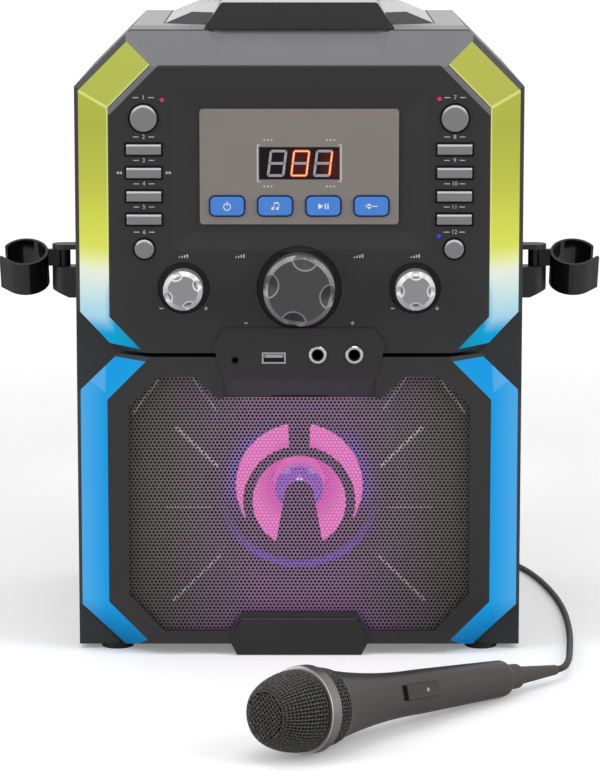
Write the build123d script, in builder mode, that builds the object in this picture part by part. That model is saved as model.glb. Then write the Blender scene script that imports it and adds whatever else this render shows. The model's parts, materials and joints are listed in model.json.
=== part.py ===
from build123d import *
import os
from math import atan, cos, pi, radians, sin, tan

# Karaoke machine with a lid over its disc well, two side holders and a corded microphone.
# Millimetres.  X to the right, Y to the back, Z up.  The origin is on the floor, under the
# middle of the cabinet.  Outlines are half outlines (x, z), listed from the top down.

# ---------------------------------------------------------------- driving dimensions
cab_half = 135.0          # half of the cabinet's width
cab_depth = 234.0
deck_z = 379.5            # flat top of the cabinet
foot_height = 3.0
top_cut = 34.0            # 45 degree corner at the top
bottom_cut = 25.5         # 45 degree corner at the front's bottom edge
bevel_depth = 16.4        # depth of the slanted border round the front
wall = 3.0                # housing wall
front_skin = 8.0          # thickness of the moulded front, measured along Y
front_depth = 57.0        # depth of the front half of the housing
fit_gap = 0.3             # play between pieces that only lie against each other
running_gap = 0.05        # radial play of a shaft in its bore

top_border = 20.9         # deck down to the flat upper face
side_border = 21.5        # cabinet's side in to the upper face
face_corner = 25.0        # 45 degree corners of the upper face, at its top
face_low_corner = 21.5    # and at its bottom
upper_height = 193.0      # deck down to the groove between the upper and the lower front
waist_gap = 2.5           # height of that groove
upper_side_cut = 23.5     # 45 degree cut where the upper front leaves the cabinet's side
lower_side_cut = 24.5     # and where the lower front does
lower_border = 19.5       # cabinet's side in to the lower face
lower_top_corner = 26.0   # 45 degree corners of the lower face, at its top
lower_base_corner = 26.2  # and at its bottom
face_bottom_z = 7.0

face_top_z = deck_z - top_border
face_half = cab_half - side_border
lower_face_half = cab_half - lower_border
waist_top_z = deck_z - upper_height
waist_bottom_z = waist_top_z - waist_gap
side_top_z = waist_top_z + upper_side_cut
side_bottom_z = waist_bottom_z - lower_side_cut

led_thick = 3.0           # light bars, measured along Y
led_margin = 2.5          # dark edge outside a light bar
panel_thick = 4.0         # control panel plate
panel_margin = 0.8        # border of housing left round the control panel
seat_width = 4.0          # ledge that the control panel lies on

recess_depth = 2.2        # display recess
recess_half = face_half - 37.5
recess_z = (face_top_z - 109.6, face_top_z - 13.6)
recess_slope = 10.5
display_size = (118.8, 69.0)
display_z = face_top_z - 59.8
display_thick = 1.2
window_size = (47.8, 19.3)
window_z = face_top_z - 57.7
window_proud = 0.2
digit_x = (-13.2, 0.6, 14.3)
digit_size = (9.0, 14.6)
digit_bar = 1.7
digit_lean = 7.0          # degrees
digit_thick = 0.3

button_gap = 1.2          # visible ring round a silver button
button_proud = 2.0
button_travel = 1.0
flange_width = 2.0
flange_thick = 1.0
stem_radius = 1.5
silver_x = face_half - 20.8
big_button_z, big_button_r = face_top_z - 30.8, 8.0
bar_button_z = tuple(face_top_z - drop for drop in (49.3, 63.3, 77.3, 91.2))
bar_button_size = (20.7, 6.2)
small_button_z, small_button_r = face_top_z - 109.0, 5.8
blue_button_x = (-43.1, -14.4, 14.4, 43.1)
blue_button_z = face_top_z - 83.3
blue_button_size = (19.8, 11.0)
blue_corner = 2.8
blue_button_proud = 1.0
blue_gap = 1.1
blue_hole = (blue_button_size[0] + 2 * blue_gap, blue_button_size[1] + 2 * blue_gap)

knob_z = waist_top_z + 39.5
big_knob_r, big_dish_r = 21.4, 25.5
small_knob_r, small_dish_r = 11.8, 15.6
small_knob_x = face_half - 44.1
knob_proud = 16.0
knob_rim = 2.6
dish_depth = 1.8
knob_shaft_r = 3.0
knob_play = 0.4

board_thick = 1.6
switch_height = 4.3
board_gap = 9.0           # control panel's back to the control board

tongue_top = (45.0, waist_top_z + 15.2)       # raised six-sided plate that holds the sockets
tongue_wide = (52.0, waist_top_z + 5.5)
tongue_low = (46.0, waist_top_z - 15.2)
tongue_proud = 1.2
mic_jack_x = (11.1, 33.1)
mic_jack_z = waist_top_z - 1.0
mic_jack_r = 3.2
mic_jack_nut_r = 5.35
mic_jack_body = (13.0, 13.0)
mic_jack_depth = 25.0
aux_at = (-38.6, waist_top_z - 4.2)
aux_r = 1.8
aux_body = (8.0, 9.0)
aux_depth = 14.0
usb_at = (-15.3, waist_top_z - 2.8)
usb_shell = (13.2, 5.8)
usb_wall = 0.4
usb_depth = 18.0

grille_top_z = waist_bottom_z - 11.7
grille_low_z = face_bottom_z + 7.9
grille_half = (
    (lower_face_half - 52.1, grille_top_z), (lower_face_half - 32.4, grille_top_z),
    (lower_face_half - 12.7, grille_top_z - 18.1), (lower_face_half - 12.2, grille_low_z + 22.8),
    (lower_face_half - 33.2, grille_low_z), (42.7, grille_low_z))
grille_notch_top = (49.6, grille_top_z - 13.5)
grille_notch_low = (35.0, 26.2)
grille_depth = 5.0
grille_thick = 1.4

speaker_z = waist_bottom_z - 80.0
speaker_hole_r = 58.0
speaker_ring_r = 64.0
guard_r = 57.5
guard_outer_r = 38.5      # outside of the two crescent windows
guard_arch_r = 34.1       # outside of the arch
guard_inner_r = 28.3      # inside of the arch
guard_arch_drop = 9.8     # the arch's centre lies lower than the cone's
guard_spoke_top = 7.0
guard_spoke_mid = 9.0
guard_spoke_foot = 15.0
light_ring_r = (46.0, 50.5)
light_ring_thick = 0.8
cone_r = 50.0
cone_depth = 17.0
cone_thick = 0.8
dome_r = 15.7
magnet_r = 36.0
magnet_thick = 16.0
basket_depth = 38.0

base_plate_half = ((34.9, 23.1), (42.5, 9.3), (38.0, 0.4))
base_plate_proud = 1.5

scoop_half = 55.0         # finger scoop in the top bevel, under the lid's front edge
scoop_low_half = 48.0     # its half width at its low edge
scoop_deep_half = 46.0    # and at its deepest, on the deck
scoop_low = 5.0           # its lowest edge above the upper face
scoop_run = 3.0           # how far it reaches on to the deck

lid_tab_half = 57.0       # raised middle of the lid
lid_top_half = 46.5
lid_corner = 2.5
lid_rise = 16.1
lid_wing_half = 83.0
lid_wing_top_half = 66.0
lid_wing_rise = 7.0
wing_foot_x = 59.5        # where the slanted front of a wing starts
lid_sink = 2.5            # how far the lid's sides sit below the deck
lid_wall = 2.5
lid_gap = 0.7
wing_front_y = -49.5      # where the wings leave the middle of the lid
wing_side_y = -35.6       # where they reach their full width
wing_slope_run = 26.0
hinge_inset, hinge_rise = 4.5, 4.0       # lid's hinge, from the cabinet's rear edge and its deck
hinge_r = 3.3
hinge_pin_r = 2.0
lug_width = 6.0

disc_y = 31.0             # middle of the disc well
well_r = 62.5
well_depth = 12.5
well_wall = 2.5
hub_r = 14.5
hub_hole_r = 16.0
spindle_r = 7.4
shaft_r = 1.0
rod_r = 1.5
rod_x = 12.0
sled_size = (32.0, 22.0, 8.0)
sled_rest = 24.0          # lens to spindle with the sled at its inner stop
sled_travel = 33.0
rod_beyond_travel = 28.0  # room on the rods for the sled itself and its end blocks

holder_y = -40.0
pin_out = 11.0            # cabinet's side to the upright pin of a microphone holder
pin_r = 2.0
knuckle_r = 3.8
pin_z = (229.5, 240.5)
bracket_half = 7.5
bracket_plate = 3.0
bracket_foot = 19.0       # height of the block under the pin
holder_reach = 24.0       # pin to the middle of the ring
holder_z = 228.9
holder_bore_r = 12.6
holder_wall = 1.7
holder_height = 23.0
holder_tilt = 28.0        # degrees towards the front
mouth_back = 25.0         # degrees from straight out, towards the back, where the ring's back wall ends
lead_turn = -50.0         # degrees from straight out where the front wall leaves the circle
lead_length = 8.4         # straight end of the front wall, at a tangent to the ring
arm_thick = 5.0

foot_r = 10.0
foot_at = (cab_half - 23.0, cab_depth / 2 - 25.0)
screw_r = 3.5
rear_screw_x = cab_half - 23.0
rear_screw_z = (30.0, 190.0, deck_z - 49.5)

# Microphone: measured along its axis from the middle of the silver band, tail positive.
mic_band_r, mic_band_half = 24.25, 3.8
mic_head_len = 32.5
mic_tail = 169.2
mic_tail_r = 10.7
mic_band_at = (3.0, -338.1)      # floor position of the band
mic_heading = 46.7               # degrees from +X towards +Y
boot_len = 48.0
cord_r = 2.0

# ---------------------------------------------------------------- places worked out from them
y_front = -cab_depth / 2
y_rear = cab_depth / 2
y_bevel = y_front + bevel_depth
y_split = y_front + front_depth
y_panel_back = y_front + panel_thick
y_recess = y_front + recess_depth
y_board = y_panel_back + board_gap
y_grille = y_front + grille_depth
y_baffle = y_front + front_skin
deck_under = deck_z - wall
hinge_y, hinge_z = y_rear - hinge_inset, deck_z + hinge_rise
pin_x = cab_half + pin_out
holder_x = pin_x + holder_reach
well_floor = deck_under - well_depth

os.makedirs("parts", exist_ok=True)


def front(y):
    """Plane across the machine at depth y, seen from the front."""
    return Plane.XZ.offset(-y)


def both_sides(half):
    """Close a half outline by mirroring it."""
    return list(half) + [(-x, z) for x, z in reversed(half)]


def prism(points, y_from, y_to):
    """Straight prism of an (x, z) outline between two depths."""
    with BuildPart(mode=Mode.PRIVATE) as shape:
        with BuildSketch(front(y_from)):
            with BuildLine():
                Polyline(*points, close=True)
            make_face()
        extrude(amount=y_from - y_to)
    return shape.part


def bevelled(outline, face, y_back):
    """Block with a flat front face, planar bevels out to its outline, and straight sides behind."""
    with BuildPart(mode=Mode.PRIVATE) as shape:
        for y, points in ((y_bevel, outline), (y_front, face)):
            with BuildSketch(front(y)):
                with BuildLine():
                    Polyline(*points, close=True)
                make_face()
        loft(ruled=True)
        add(prism(outline, y_bevel, y_back))
    return shape.part


# ---------------------------------------------------------------- housing outlines
cabinet_outline = both_sides([(cab_half - top_cut, deck_z), (cab_half, deck_z - top_cut),
                              (cab_half, foot_height)])
inner_cut = top_cut + wall * (2 ** 0.5 - 2)
inner_half, inner_top = cab_half - wall, deck_z - wall
cavity_outline = both_sides(
    [(inner_half - inner_cut - wall, inner_top), (inner_half, inner_top - inner_cut - wall),
     (inner_half, foot_height + wall)])

upper_outline = both_sides(
    [(cab_half - top_cut, deck_z), (cab_half, deck_z - top_cut), (cab_half, side_top_z),
     (cab_half - upper_side_cut, waist_top_z)])
upper_face = both_sides(
    [(face_half - face_corner, face_top_z), (face_half, face_top_z - face_corner),
     (face_half, waist_top_z + face_low_corner), (face_half - face_low_corner, waist_top_z)])
lower_outline = both_sides(
    [(cab_half - lower_side_cut, waist_bottom_z), (cab_half, side_bottom_z),
     (cab_half, foot_height + bottom_cut), (cab_half - bottom_cut, foot_height)])
lower_face = both_sides(
    [(lower_face_half - lower_top_corner, waist_bottom_z), (lower_face_half, waist_bottom_z - lower_top_corner),
     (lower_face_half, face_bottom_z + lower_base_corner), (lower_face_half - lower_base_corner, face_bottom_z)])

upper_block = bevelled(upper_outline, upper_face, y_split)
lower_block = bevelled(lower_outline, lower_face, y_split)
with BuildPart() as cabinet_front:
    add(prism(cabinet_outline, y_bevel, y_split))
    add(upper_block)
    add(lower_block)
with BuildPart() as front_cavity:
    add(cabinet_front.part.moved(Location((0, front_skin, 0))))
    add(prism(cavity_outline, y_front, y_split + front_skin), mode=Mode.INTERSECT)


# ---------------------------------------------------------------- light bars in the bevels
def light_bar(block, region, side):
    """Slab of the block's own slanted skin inside a region of the front view."""
    with BuildPart(mode=Mode.PRIVATE) as bar:
        add(block)
        add(block.moved(Location((0, led_thick, 0))), mode=Mode.SUBTRACT)
        add(prism([(side * x, z) for x, z in region], y_front - 1, y_bevel + led_thick), mode=Mode.INTERSECT)
    return bar.part


led_out = cab_half - led_margin
led_inset = 0.6           # dark edge between a light bar and the upper face
led_top_x, led_top_z = cab_half - 31.8, deck_z - 7.0
upper_led = [
    (led_top_x, led_top_z), (led_out, led_top_z + led_top_x - led_out), (led_out, side_top_z - 0.5),
    (cab_half - 20.2, waist_top_z + 3.8), (face_half - 17.9, waist_top_z + 2.1),
    (face_half + led_inset, waist_top_z + face_low_corner + led_inset),
    (face_half + led_inset, face_top_z - face_corner + led_inset),
    (face_half - face_corner + 0.4, face_top_z + 0.9)]
lower_led_inset = 0.3
lower_led = [
    (lower_face_half - 22.9, waist_bottom_z - 2.8), (cab_half - 23.4, waist_bottom_z - 2.0),
    (led_out + 0.2, side_bottom_z + 2.2), (led_out + 0.4, foot_height + bottom_cut - 0.3),
    (cab_half - 28.5, foot_height + 0.9), (cab_half - 35.5, foot_height + 1.2),
    (lower_face_half - 23.1, face_bottom_z + 2.4),
    (lower_face_half + lower_led_inset, face_bottom_z + lower_base_corner),
    (lower_face_half + lower_led_inset, waist_bottom_z - lower_top_corner)]
with BuildPart() as led_bars_upper:
    for side in (-1, 1):
        add(light_bar(upper_block, upper_led, side))
led_bars_upper.part.label = "led_bars_upper"
export_step(led_bars_upper.part, "parts/led_bars_upper.step")

with BuildPart() as led_bars_lower:
    for side in (-1, 1):
        add(light_bar(lower_block, lower_led, side))
led_bars_lower.part.label = "led_bars_lower"
export_step(led_bars_lower.part, "parts/led_bars_lower.step")

# ---------------------------------------------------------------- control panel
panel_half = [
    (face_half - face_corner - panel_margin - 2.5, face_top_z - panel_margin),
    (face_half - panel_margin, face_top_z - face_corner - panel_margin - 2.5),
    (face_half - panel_margin, waist_top_z + face_low_corner + 0.3),
    (face_half - face_low_corner + 0.3, waist_top_z + panel_margin)]
panel_outline = both_sides(panel_half)
socket_block = [(47.0, tongue_top[1]), (47.0, tongue_low[1] + 5.0)]
small_knobs = [(-small_knob_x, small_knob_r, small_dish_r), (small_knob_x, small_knob_r, small_dish_r)]
knobs = small_knobs + [(0.0, big_knob_r, big_dish_r)]
boss_at = [(x, face_top_z - drop) for drop in (112.0, 18.6) for x in (-70.0, 70.0)]
led_dot_r = 2.0
led_dots = [(x, face_top_z - drop) for x, drop in ((-81.6, 20.0), (83.4, 19.3), (83.4, 101.5))]


def rounded(width, height, radius=0.8, mode=Mode.ADD):
    """Rectangle with small round corners, for the sketch that is open."""
    return RectangleRounded(width, height, radius, mode=mode)


with BuildPart() as control_panel:
    add(prism(panel_outline, y_front, y_panel_back))
    add(prism(both_sides([tongue_top, tongue_wide, tongue_low]), y_front - tongue_proud, y_front))
    add(prism(both_sides(socket_block), y_front, y_panel_back))
    # display recess with sloping sides
    with BuildSketch(front(y_front)):
        with Locations((0, sum(recess_z) / 2)):
            Rectangle(2 * recess_half, recess_z[1] - recess_z[0])
    with BuildSketch(front(y_recess)):
        with Locations((0, sum(recess_z) / 2)):
            Rectangle(2 * (recess_half - recess_slope), recess_z[1] - recess_z[0] - 2 * recess_slope)
    loft(ruled=True, mode=Mode.SUBTRACT)
    # dishes and shaft holes for the knobs
    for x, _, dish_r in knobs:
        with BuildSketch(front(y_front)):
            with Locations((x, knob_z)):
                Circle(dish_r)
        extrude(amount=-dish_depth, mode=Mode.SUBTRACT)
    # holes for buttons, indicator lights, display window and sockets
    with BuildSketch(front(y_front - tongue_proud)):
        with Locations(*[(s * silver_x, big_button_z) for s in (-1, 1)]):
            Circle(big_button_r + button_gap)
        with Locations(*[(s * silver_x, small_button_z) for s in (-1, 1)]):
            Circle(small_button_r + button_gap)
        with Locations(*[(s * silver_x, z) for s in (-1, 1) for z in bar_button_z]):
            rounded(bar_button_size[0] + 2 * button_gap, bar_button_size[1] + 2 * button_gap)
        with Locations(*[(x, blue_button_z) for x in blue_button_x]):
            rounded(*blue_hole, blue_corner + blue_gap)
        with Locations(*[(x, knob_z) for x, _, _ in knobs]):
            Circle(knob_shaft_r + 2 * fit_gap)
        with Locations(*led_dots):
            Circle(led_dot_r)
        with Locations(*[(x, mic_jack_z) for x in mic_jack_x]):
            Circle(mic_jack_nut_r - 1.0)
        with Locations(aux_at):
            Circle(aux_r + 1.0)
        with Locations(usb_at):
            Rectangle(*usb_shell)
    extrude(amount=-(tongue_proud + panel_thick), mode=Mode.SUBTRACT)
    # posts that carry the control board
    with BuildSketch(front(y_panel_back)):
        with Locations(*boss_at):
            Circle(3.0)
    extrude(amount=-board_gap)
control_panel.part.label = "control_panel"
export_step(control_panel.part, "parts/control_panel.step")

# ---------------------------------------------------------------- front half of the housing
seat_half = [
    (panel_half[0][0] - seat_width / 2, panel_half[0][1] - seat_width),
    (panel_half[1][0] - seat_width, panel_half[1][1] - seat_width / 2),
    (panel_half[2][0] - seat_width, panel_half[2][1] + seat_width / 2),
    (panel_half[3][0] - seat_width / 2, panel_half[3][1] + seat_width)]
grille_outline = both_sides([grille_notch_top] + list(grille_half) + [grille_notch_low])
socket_opening = both_sides([(x + fit_gap, z - fit_gap) for x, z in socket_block])

with BuildPart() as front_housing:
    add(cabinet_front.part)
    add(front_cavity.part, mode=Mode.SUBTRACT)
    add(led_bars_upper.part, mode=Mode.SUBTRACT)
    add(led_bars_lower.part, mode=Mode.SUBTRACT)
    add(prism(panel_outline, y_front, y_panel_back), mode=Mode.SUBTRACT)
    add(prism(both_sides(seat_half), y_front, y_bevel), mode=Mode.SUBTRACT)
    add(prism(socket_opening, y_front, y_bevel + front_skin), mode=Mode.SUBTRACT)
    # pocket of the grille, and the loudspeaker's hole behind it
    add(prism(grille_outline, y_front, y_grille + grille_thick), mode=Mode.SUBTRACT)
    with BuildSketch(front(y_grille)):
        with Locations((0, speaker_z)):
            Circle(speaker_hole_r)
    extrude(amount=-(front_skin + 1), mode=Mode.SUBTRACT)
    # slanted lip under the socket plate
    with BuildSketch(Plane.YZ.offset(-tongue_low[0])):
        with BuildLine():
            Polyline((y_front, tongue_low[1]), (y_grille + 0.5, grille_notch_top[1]),
                     (y_front, grille_notch_top[1]), close=True)
        make_face()
    extrude(amount=2 * tongue_low[0], mode=Mode.SUBTRACT)
    # shallow finger scoop in the top bevel, under the lid's front edge
    bevel_slope = -top_border / bevel_depth
    scoop_low_z = face_top_z + scoop_low
    scoop_y = y_front + (face_top_z - scoop_low_z) / bevel_slope
    low = [(side * scoop_low_half, scoop_y, scoop_low_z) for side in (-1, 1)]
    rim = [(side * scoop_half, y_bevel, deck_z) for side in (-1, 1)]
    deep = [(side * scoop_deep_half, y_bevel + scoop_run, deck_z) for side in (-1, 1)]
    scoop_faces = [(*low, *rim[::-1]), (*rim, *deep[::-1]), (*deep, *low[::-1])]
    scoop_faces += [(low[end], rim[end], deep[end]) for end in (0, 1)]
    scoop = Solid(Shell([Face(Wire.make_polygon(corners)) for corners in scoop_faces]))
    add(scoop, mode=Mode.SUBTRACT)
front_housing.part.label = "front_housing"
export_step(front_housing.part, "parts/front_housing.step")

# ---------------------------------------------------------------- rear half of the housing
well_opening = [
    (wing_foot_x + lid_gap / 2, wing_front_y - lid_gap),
    (lid_wing_half + lid_gap, wing_side_y - lid_gap / 2), (lid_wing_half + lid_gap, hinge_y - hinge_r)]
lid_rear_y = hinge_y - hinge_r - lid_gap
lug_x = lid_tab_half + 1.2 + lug_width / 2
board_boss = 9.0
board_post_r = 3.5
board_x = (-45.0, 45.0)
board_z = (35.0, 95.0)
dc_at = (-30.0, 60.0)
dc_r = 2.8
dc_body_r = 5.0
av_at = ((0.0, 60.0), (18.0, 60.0))
av_r = 4.2
socket_proud = 2.0
av_proud = 8.0
y_rear_inner = y_rear - wall
y_main_board = y_rear_inner - board_boss
screw_at = [(s * rear_screw_x, z) for s in (-1, 1) for z in rear_screw_z]
screw_head_thick = 1.2

with BuildPart() as rear_housing:
    add(prism(cabinet_outline, y_split, y_rear))
    add(prism(cavity_outline, y_split, y_rear_inner), mode=Mode.SUBTRACT)
    # opening of the disc well in the deck
    with BuildSketch(Plane.XY.offset(deck_z)):
        with BuildLine():
            Polyline(*both_sides(well_opening), close=True)
        make_face()
    extrude(amount=-wall, mode=Mode.SUBTRACT)
    # hinge lugs of the lid, one on each side
    for x in (-lug_x, lug_x):
        with BuildSketch(Plane.YZ.offset(x - lug_width / 2)):
            with Locations((hinge_y, hinge_z)):
                Circle(hinge_r)
            with Locations((hinge_y, (deck_z + hinge_z) / 2)):
                Rectangle(2 * hinge_r, hinge_z - deck_z)
        extrude(amount=lug_width)
        with BuildSketch(Plane.YZ.offset(x - lug_width / 2)):
            with Locations((hinge_y, hinge_z)):
                Circle(hinge_pin_r + running_gap)
        extrude(amount=lug_width, mode=Mode.SUBTRACT)
    # posts of the main board, holes for its sockets and seats for the case screws
    with BuildSketch(front(y_rear_inner)):
        with Locations(*[(x, z) for x in board_x for z in board_z]):
            Circle(board_post_r)
    extrude(amount=board_boss)
    with BuildSketch(front(y_rear)):
        with Locations(dc_at):
            Circle(dc_body_r)
        with Locations(*av_at):
            Circle(av_r)
    extrude(amount=wall, mode=Mode.SUBTRACT)
    with BuildSketch(front(y_rear)):
        with Locations(*screw_at):
            Circle(screw_r)
    extrude(amount=screw_head_thick, mode=Mode.SUBTRACT)
rear_housing.part.label = "rear_housing"
export_step(rear_housing.part, "parts/rear_housing.step")

with BuildPart() as case_screws:
    with BuildSketch(front(y_rear)):
        with Locations(*screw_at):
            Circle(screw_r)
    extrude(amount=screw_head_thick)
    with BuildSketch(front(y_rear)):
        with Locations(*screw_at):
            Rectangle(4.0, 0.9)
            Rectangle(0.9, 4.0)
    extrude(amount=0.7, mode=Mode.SUBTRACT)
case_screws.part.label = "case_screws"
export_step(case_screws.part, "parts/case_screws.step")

with BuildPart() as feet:
    with BuildSketch(Plane.XY):
        with Locations(*[(sx * foot_at[0], sy * foot_at[1]) for sx in (-1, 1) for sy in (-1, 1)]):
            Circle(foot_r)
    extrude(amount=foot_height)
    chamfer(feet.edges().group_by(Axis.Z)[0], 0.6)
feet.part.label = "feet"
export_step(feet.part, "parts/feet.step")

with BuildPart() as base_plate:
    add(prism(both_sides(base_plate_half), y_front - base_plate_proud, y_front))
    chamfer(base_plate.faces().sort_by(Axis.Y)[0].edges().group_by(Axis.Z)[-1], 0.8)
base_plate.part.label = "base_plate"
export_step(base_plate.part, "parts/base_plate.step")

# ---------------------------------------------------------------- display
with BuildPart() as display_panel:
    with BuildSketch(front(y_recess - display_thick)):
        with Locations((0, display_z)):
            rounded(*display_size, 2.0)
        with Locations(*[(x, blue_button_z) for x in blue_button_x]):
            rounded(*blue_hole, blue_corner + blue_gap, Mode.SUBTRACT)
        with Locations((0, window_z)):
            Rectangle(*window_size, mode=Mode.SUBTRACT)
    extrude(amount=-display_thick)
display_panel.part.label = "display_panel"
export_step(display_panel.part, "parts/display_panel.step")

y_window = y_recess - display_thick - window_proud
with BuildPart() as display_window:
    with BuildSketch(front(y_window)):
        with Locations((0, window_z)):
            Rectangle(*window_size)
    extrude(amount=y_window - y_recess)
display_window.part.label = "display_window"
export_step(display_window.part, "parts/display_window.step")


def digit_bars(x_mid):
    """Seven slanted bars of one digit, added to the sketch that is open."""
    width, height = digit_size
    lean = tan(radians(digit_lean))
    for z in (-height / 2, 0, height / 2):
        half = width / 2 - digit_bar
        with Locations((x_mid + z * lean, window_z + z)):
            SlotOverall(2 * half + digit_bar - 0.3, digit_bar)
    for side in (-1, 1):
        for z in (-height / 4, height / 4):
            with Locations(Location((x_mid + side * width / 2 + z * lean, window_z + z), 90 - digit_lean)):
                SlotOverall(height / 2 - digit_bar, digit_bar)


with BuildPart() as digit_segments:
    with BuildSketch(front(y_window - digit_thick)):
        for x_mid in digit_x:
            digit_bars(x_mid)
    extrude(amount=-digit_thick)
digit_segments.part.label = "digit_segments"
export_step(digit_segments.part, "parts/digit_segments.step")

with BuildPart() as indicator_leds:
    with BuildSketch(front(y_panel_back)):
        with Locations(*led_dots):
            Circle(led_dot_r)
    extrude(amount=panel_thick)
    fillet(indicator_leds.edges().group_by(Axis.Y)[0], led_dot_r * 0.4)
indicator_leds.part.label = "indicator_leds"
export_step(indicator_leds.part, "parts/indicator_leds.step")

# ---------------------------------------------------------------- buttons
y_flange = y_panel_back + fit_gap
stem_end = y_board - switch_height - button_travel - fit_gap


def button(x, z, y_face, outline, flange_outline, edge):
    """Cap with a rounded front edge, a flange behind the panel and a stem towards its switch."""
    with BuildPart(mode=Mode.PRIVATE) as cap:
        with BuildSketch(front(y_face)):
            with Locations((x, z)):
                outline()
        extrude(amount=y_face - y_flange)
        fillet(cap.edges().group_by(Axis.Y)[0], edge)
        with BuildSketch(front(y_flange)):
            with Locations((x, z)):
                flange_outline()
        extrude(amount=-flange_thick)
        with BuildSketch(front(y_flange + flange_thick)):
            with Locations((x, z)):
                Circle(stem_radius)
        extrude(amount=y_flange + flange_thick - stem_end)
    return cap.part


def round_button(x, z, radius):
    return button(x, z, y_front - button_proud, lambda: Circle(radius),
                  lambda: Circle(radius + flange_width), 0.8)


def bar_button(x, z):
    wide, high = bar_button_size
    return button(x, z, y_front - button_proud, lambda: rounded(wide, high, 0.4),
                  lambda: rounded(wide + 2 * flange_width, high + 2 * flange_width), 0.6)


def blue_button(x):
    wide, high = blue_button_size
    return button(x, blue_button_z, y_front - blue_button_proud, lambda: rounded(wide, high, blue_corner),
                  lambda: rounded(wide + 2 * flange_width, high + 2 * flange_width, blue_corner), 0.5)


sides = {"left": -1, "right": 1}
caps = {}
for side, sign in sides.items():
    caps[f"button_{side}_big"] = round_button(sign * silver_x, big_button_z, big_button_r)
    for number, z in enumerate(bar_button_z, start=1):
        caps[f"button_{side}_bar_{number}"] = bar_button(sign * silver_x, z)
    caps[f"button_{side}_small"] = round_button(sign * silver_x, small_button_z, small_button_r)
for number, x in enumerate(blue_button_x, start=1):
    caps[f"button_blue_{number}"] = blue_button(x)
for name, cap in caps.items():
    cap.label = name
    export_step(cap, f"parts/{name}.step")

# ---------------------------------------------------------------- knobs
knob_scoops = 4
scoop_r_share = 0.365      # radius of a thumb scoop where it meets the cap's front, as a share of the cap's
scoop_at_share = 0.955     # and how far out its middle lies
pot_r = 8.0
pot_depth = 8.0


def knob(x, radius, turn):
    """Chamfered cap on a shaft, with tapered thumb scoops that leave its round outline whole."""
    y_cap = y_front - knob_proud
    y_skirt = y_front + dish_depth - knob_play
    with BuildPart(mode=Mode.PRIVATE) as cap:
        with BuildSketch(front(y_skirt)):
            with Locations((x, knob_z)):
                Circle(radius)
        extrude(amount=y_skirt - y_cap)
        chamfer(cap.edges().group_by(Axis.Y)[0], knob_rim)
        scoop_r = radius * scoop_r_share
        with BuildSketch(front(y_cap)):
            with Locations(Location((x, knob_z), turn)):
                with PolarLocations(radius * scoop_at_share, knob_scoops):
                    Circle(scoop_r)
        extrude(amount=-(scoop_r - 0.8), taper=45, mode=Mode.SUBTRACT)
        with BuildSketch(front(y_skirt)):
            with Locations((x, knob_z)):
                Circle(knob_shaft_r)
        extrude(amount=y_skirt - (y_panel_back + pot_depth))
    return cap.part


for name, x, radius, turn in (("knob_left", -small_knob_x, small_knob_r, 22.0),
                              ("knob_main", 0.0, big_knob_r, 80.0),
                              ("knob_right", small_knob_x, small_knob_r, 90.0)):
    turned = knob(x, radius, turn)
    turned.label = name
    export_step(turned, f"parts/{name}.step")

with BuildPart() as potentiometers:
    with BuildSketch(front(y_panel_back)):
        with Locations(*[(x, knob_z) for x, _, _ in knobs]):
            Circle(pot_r)
            Circle(knob_shaft_r + running_gap, mode=Mode.SUBTRACT)
    extrude(amount=-(pot_depth + fit_gap))
potentiometers.part.label = "potentiometers"
export_step(potentiometers.part, "parts/potentiometers.step")

# ---------------------------------------------------------------- circuit boards
button_places = [(s * silver_x, z) for s in (-1, 1) for z in (big_button_z, *bar_button_z, small_button_z)]
button_places += [(x, blue_button_z) for x in blue_button_x]
control_board_half = face_half - 9.5
control_board_z = (face_top_z - 115.6, face_top_z - 13.6)
switch_side = 6.0

with BuildPart() as circuit_boards:
    add(prism(both_sides([(control_board_half, control_board_z[1]), (control_board_half, control_board_z[0])]),
              y_board, y_board + board_thick))
    with BuildSketch(front(y_board)):
        with Locations(*button_places):
            Rectangle(switch_side, switch_side)
    extrude(amount=switch_height - 0.8)
    with BuildSketch(front(y_board)):
        with Locations(*button_places):
            Circle(1.6)
    extrude(amount=switch_height)
    with BuildSketch(front(y_main_board)):
        with Locations((0, sum(board_z) / 2)):
            Rectangle(board_x[1] - board_x[0] + 10, board_z[1] - board_z[0] + 10)
    extrude(amount=board_thick)
    with BuildSketch(front(y_main_board - board_thick)):
        with Locations((-20, 80)):
            Rectangle(14, 14)
        with Locations((20, 78)):
            Rectangle(10, 18)
    extrude(amount=2.0)
circuit_boards.part.label = "circuit_boards"
export_step(circuit_boards.part, "parts/circuit_boards.step")

# ---------------------------------------------------------------- sockets in the raised plate
y_tongue = y_front - tongue_proud
nut_proud = 1.0
with BuildPart() as mic_sockets:
    with BuildSketch(front(y_tongue)):
        with Locations(*[(x, mic_jack_z) for x in mic_jack_x]):
            Circle(mic_jack_nut_r)
    extrude(amount=nut_proud)
    chamfer(mic_sockets.edges().group_by(Axis.Y)[0], 0.4)
    with BuildSketch(front(y_tongue)):
        with Locations(*[(x, mic_jack_z) for x in mic_jack_x]):
            Circle(mic_jack_nut_r - 1.0)
    extrude(amount=-(tongue_proud + panel_thick))
    with BuildSketch(front(y_panel_back)):
        with Locations(*[(x, mic_jack_z) for x in mic_jack_x]):
            Rectangle(*mic_jack_body)
    extrude(amount=-mic_jack_depth)
    with BuildSketch(front(y_tongue - nut_proud)):
        with Locations(*[(x, mic_jack_z) for x in mic_jack_x]):
            Circle(mic_jack_r)
    extrude(amount=-(nut_proud + tongue_proud + panel_thick + mic_jack_depth - 2), mode=Mode.SUBTRACT)
mic_sockets.part.label = "mic_sockets"
export_step(mic_sockets.part, "parts/mic_sockets.step")

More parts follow.
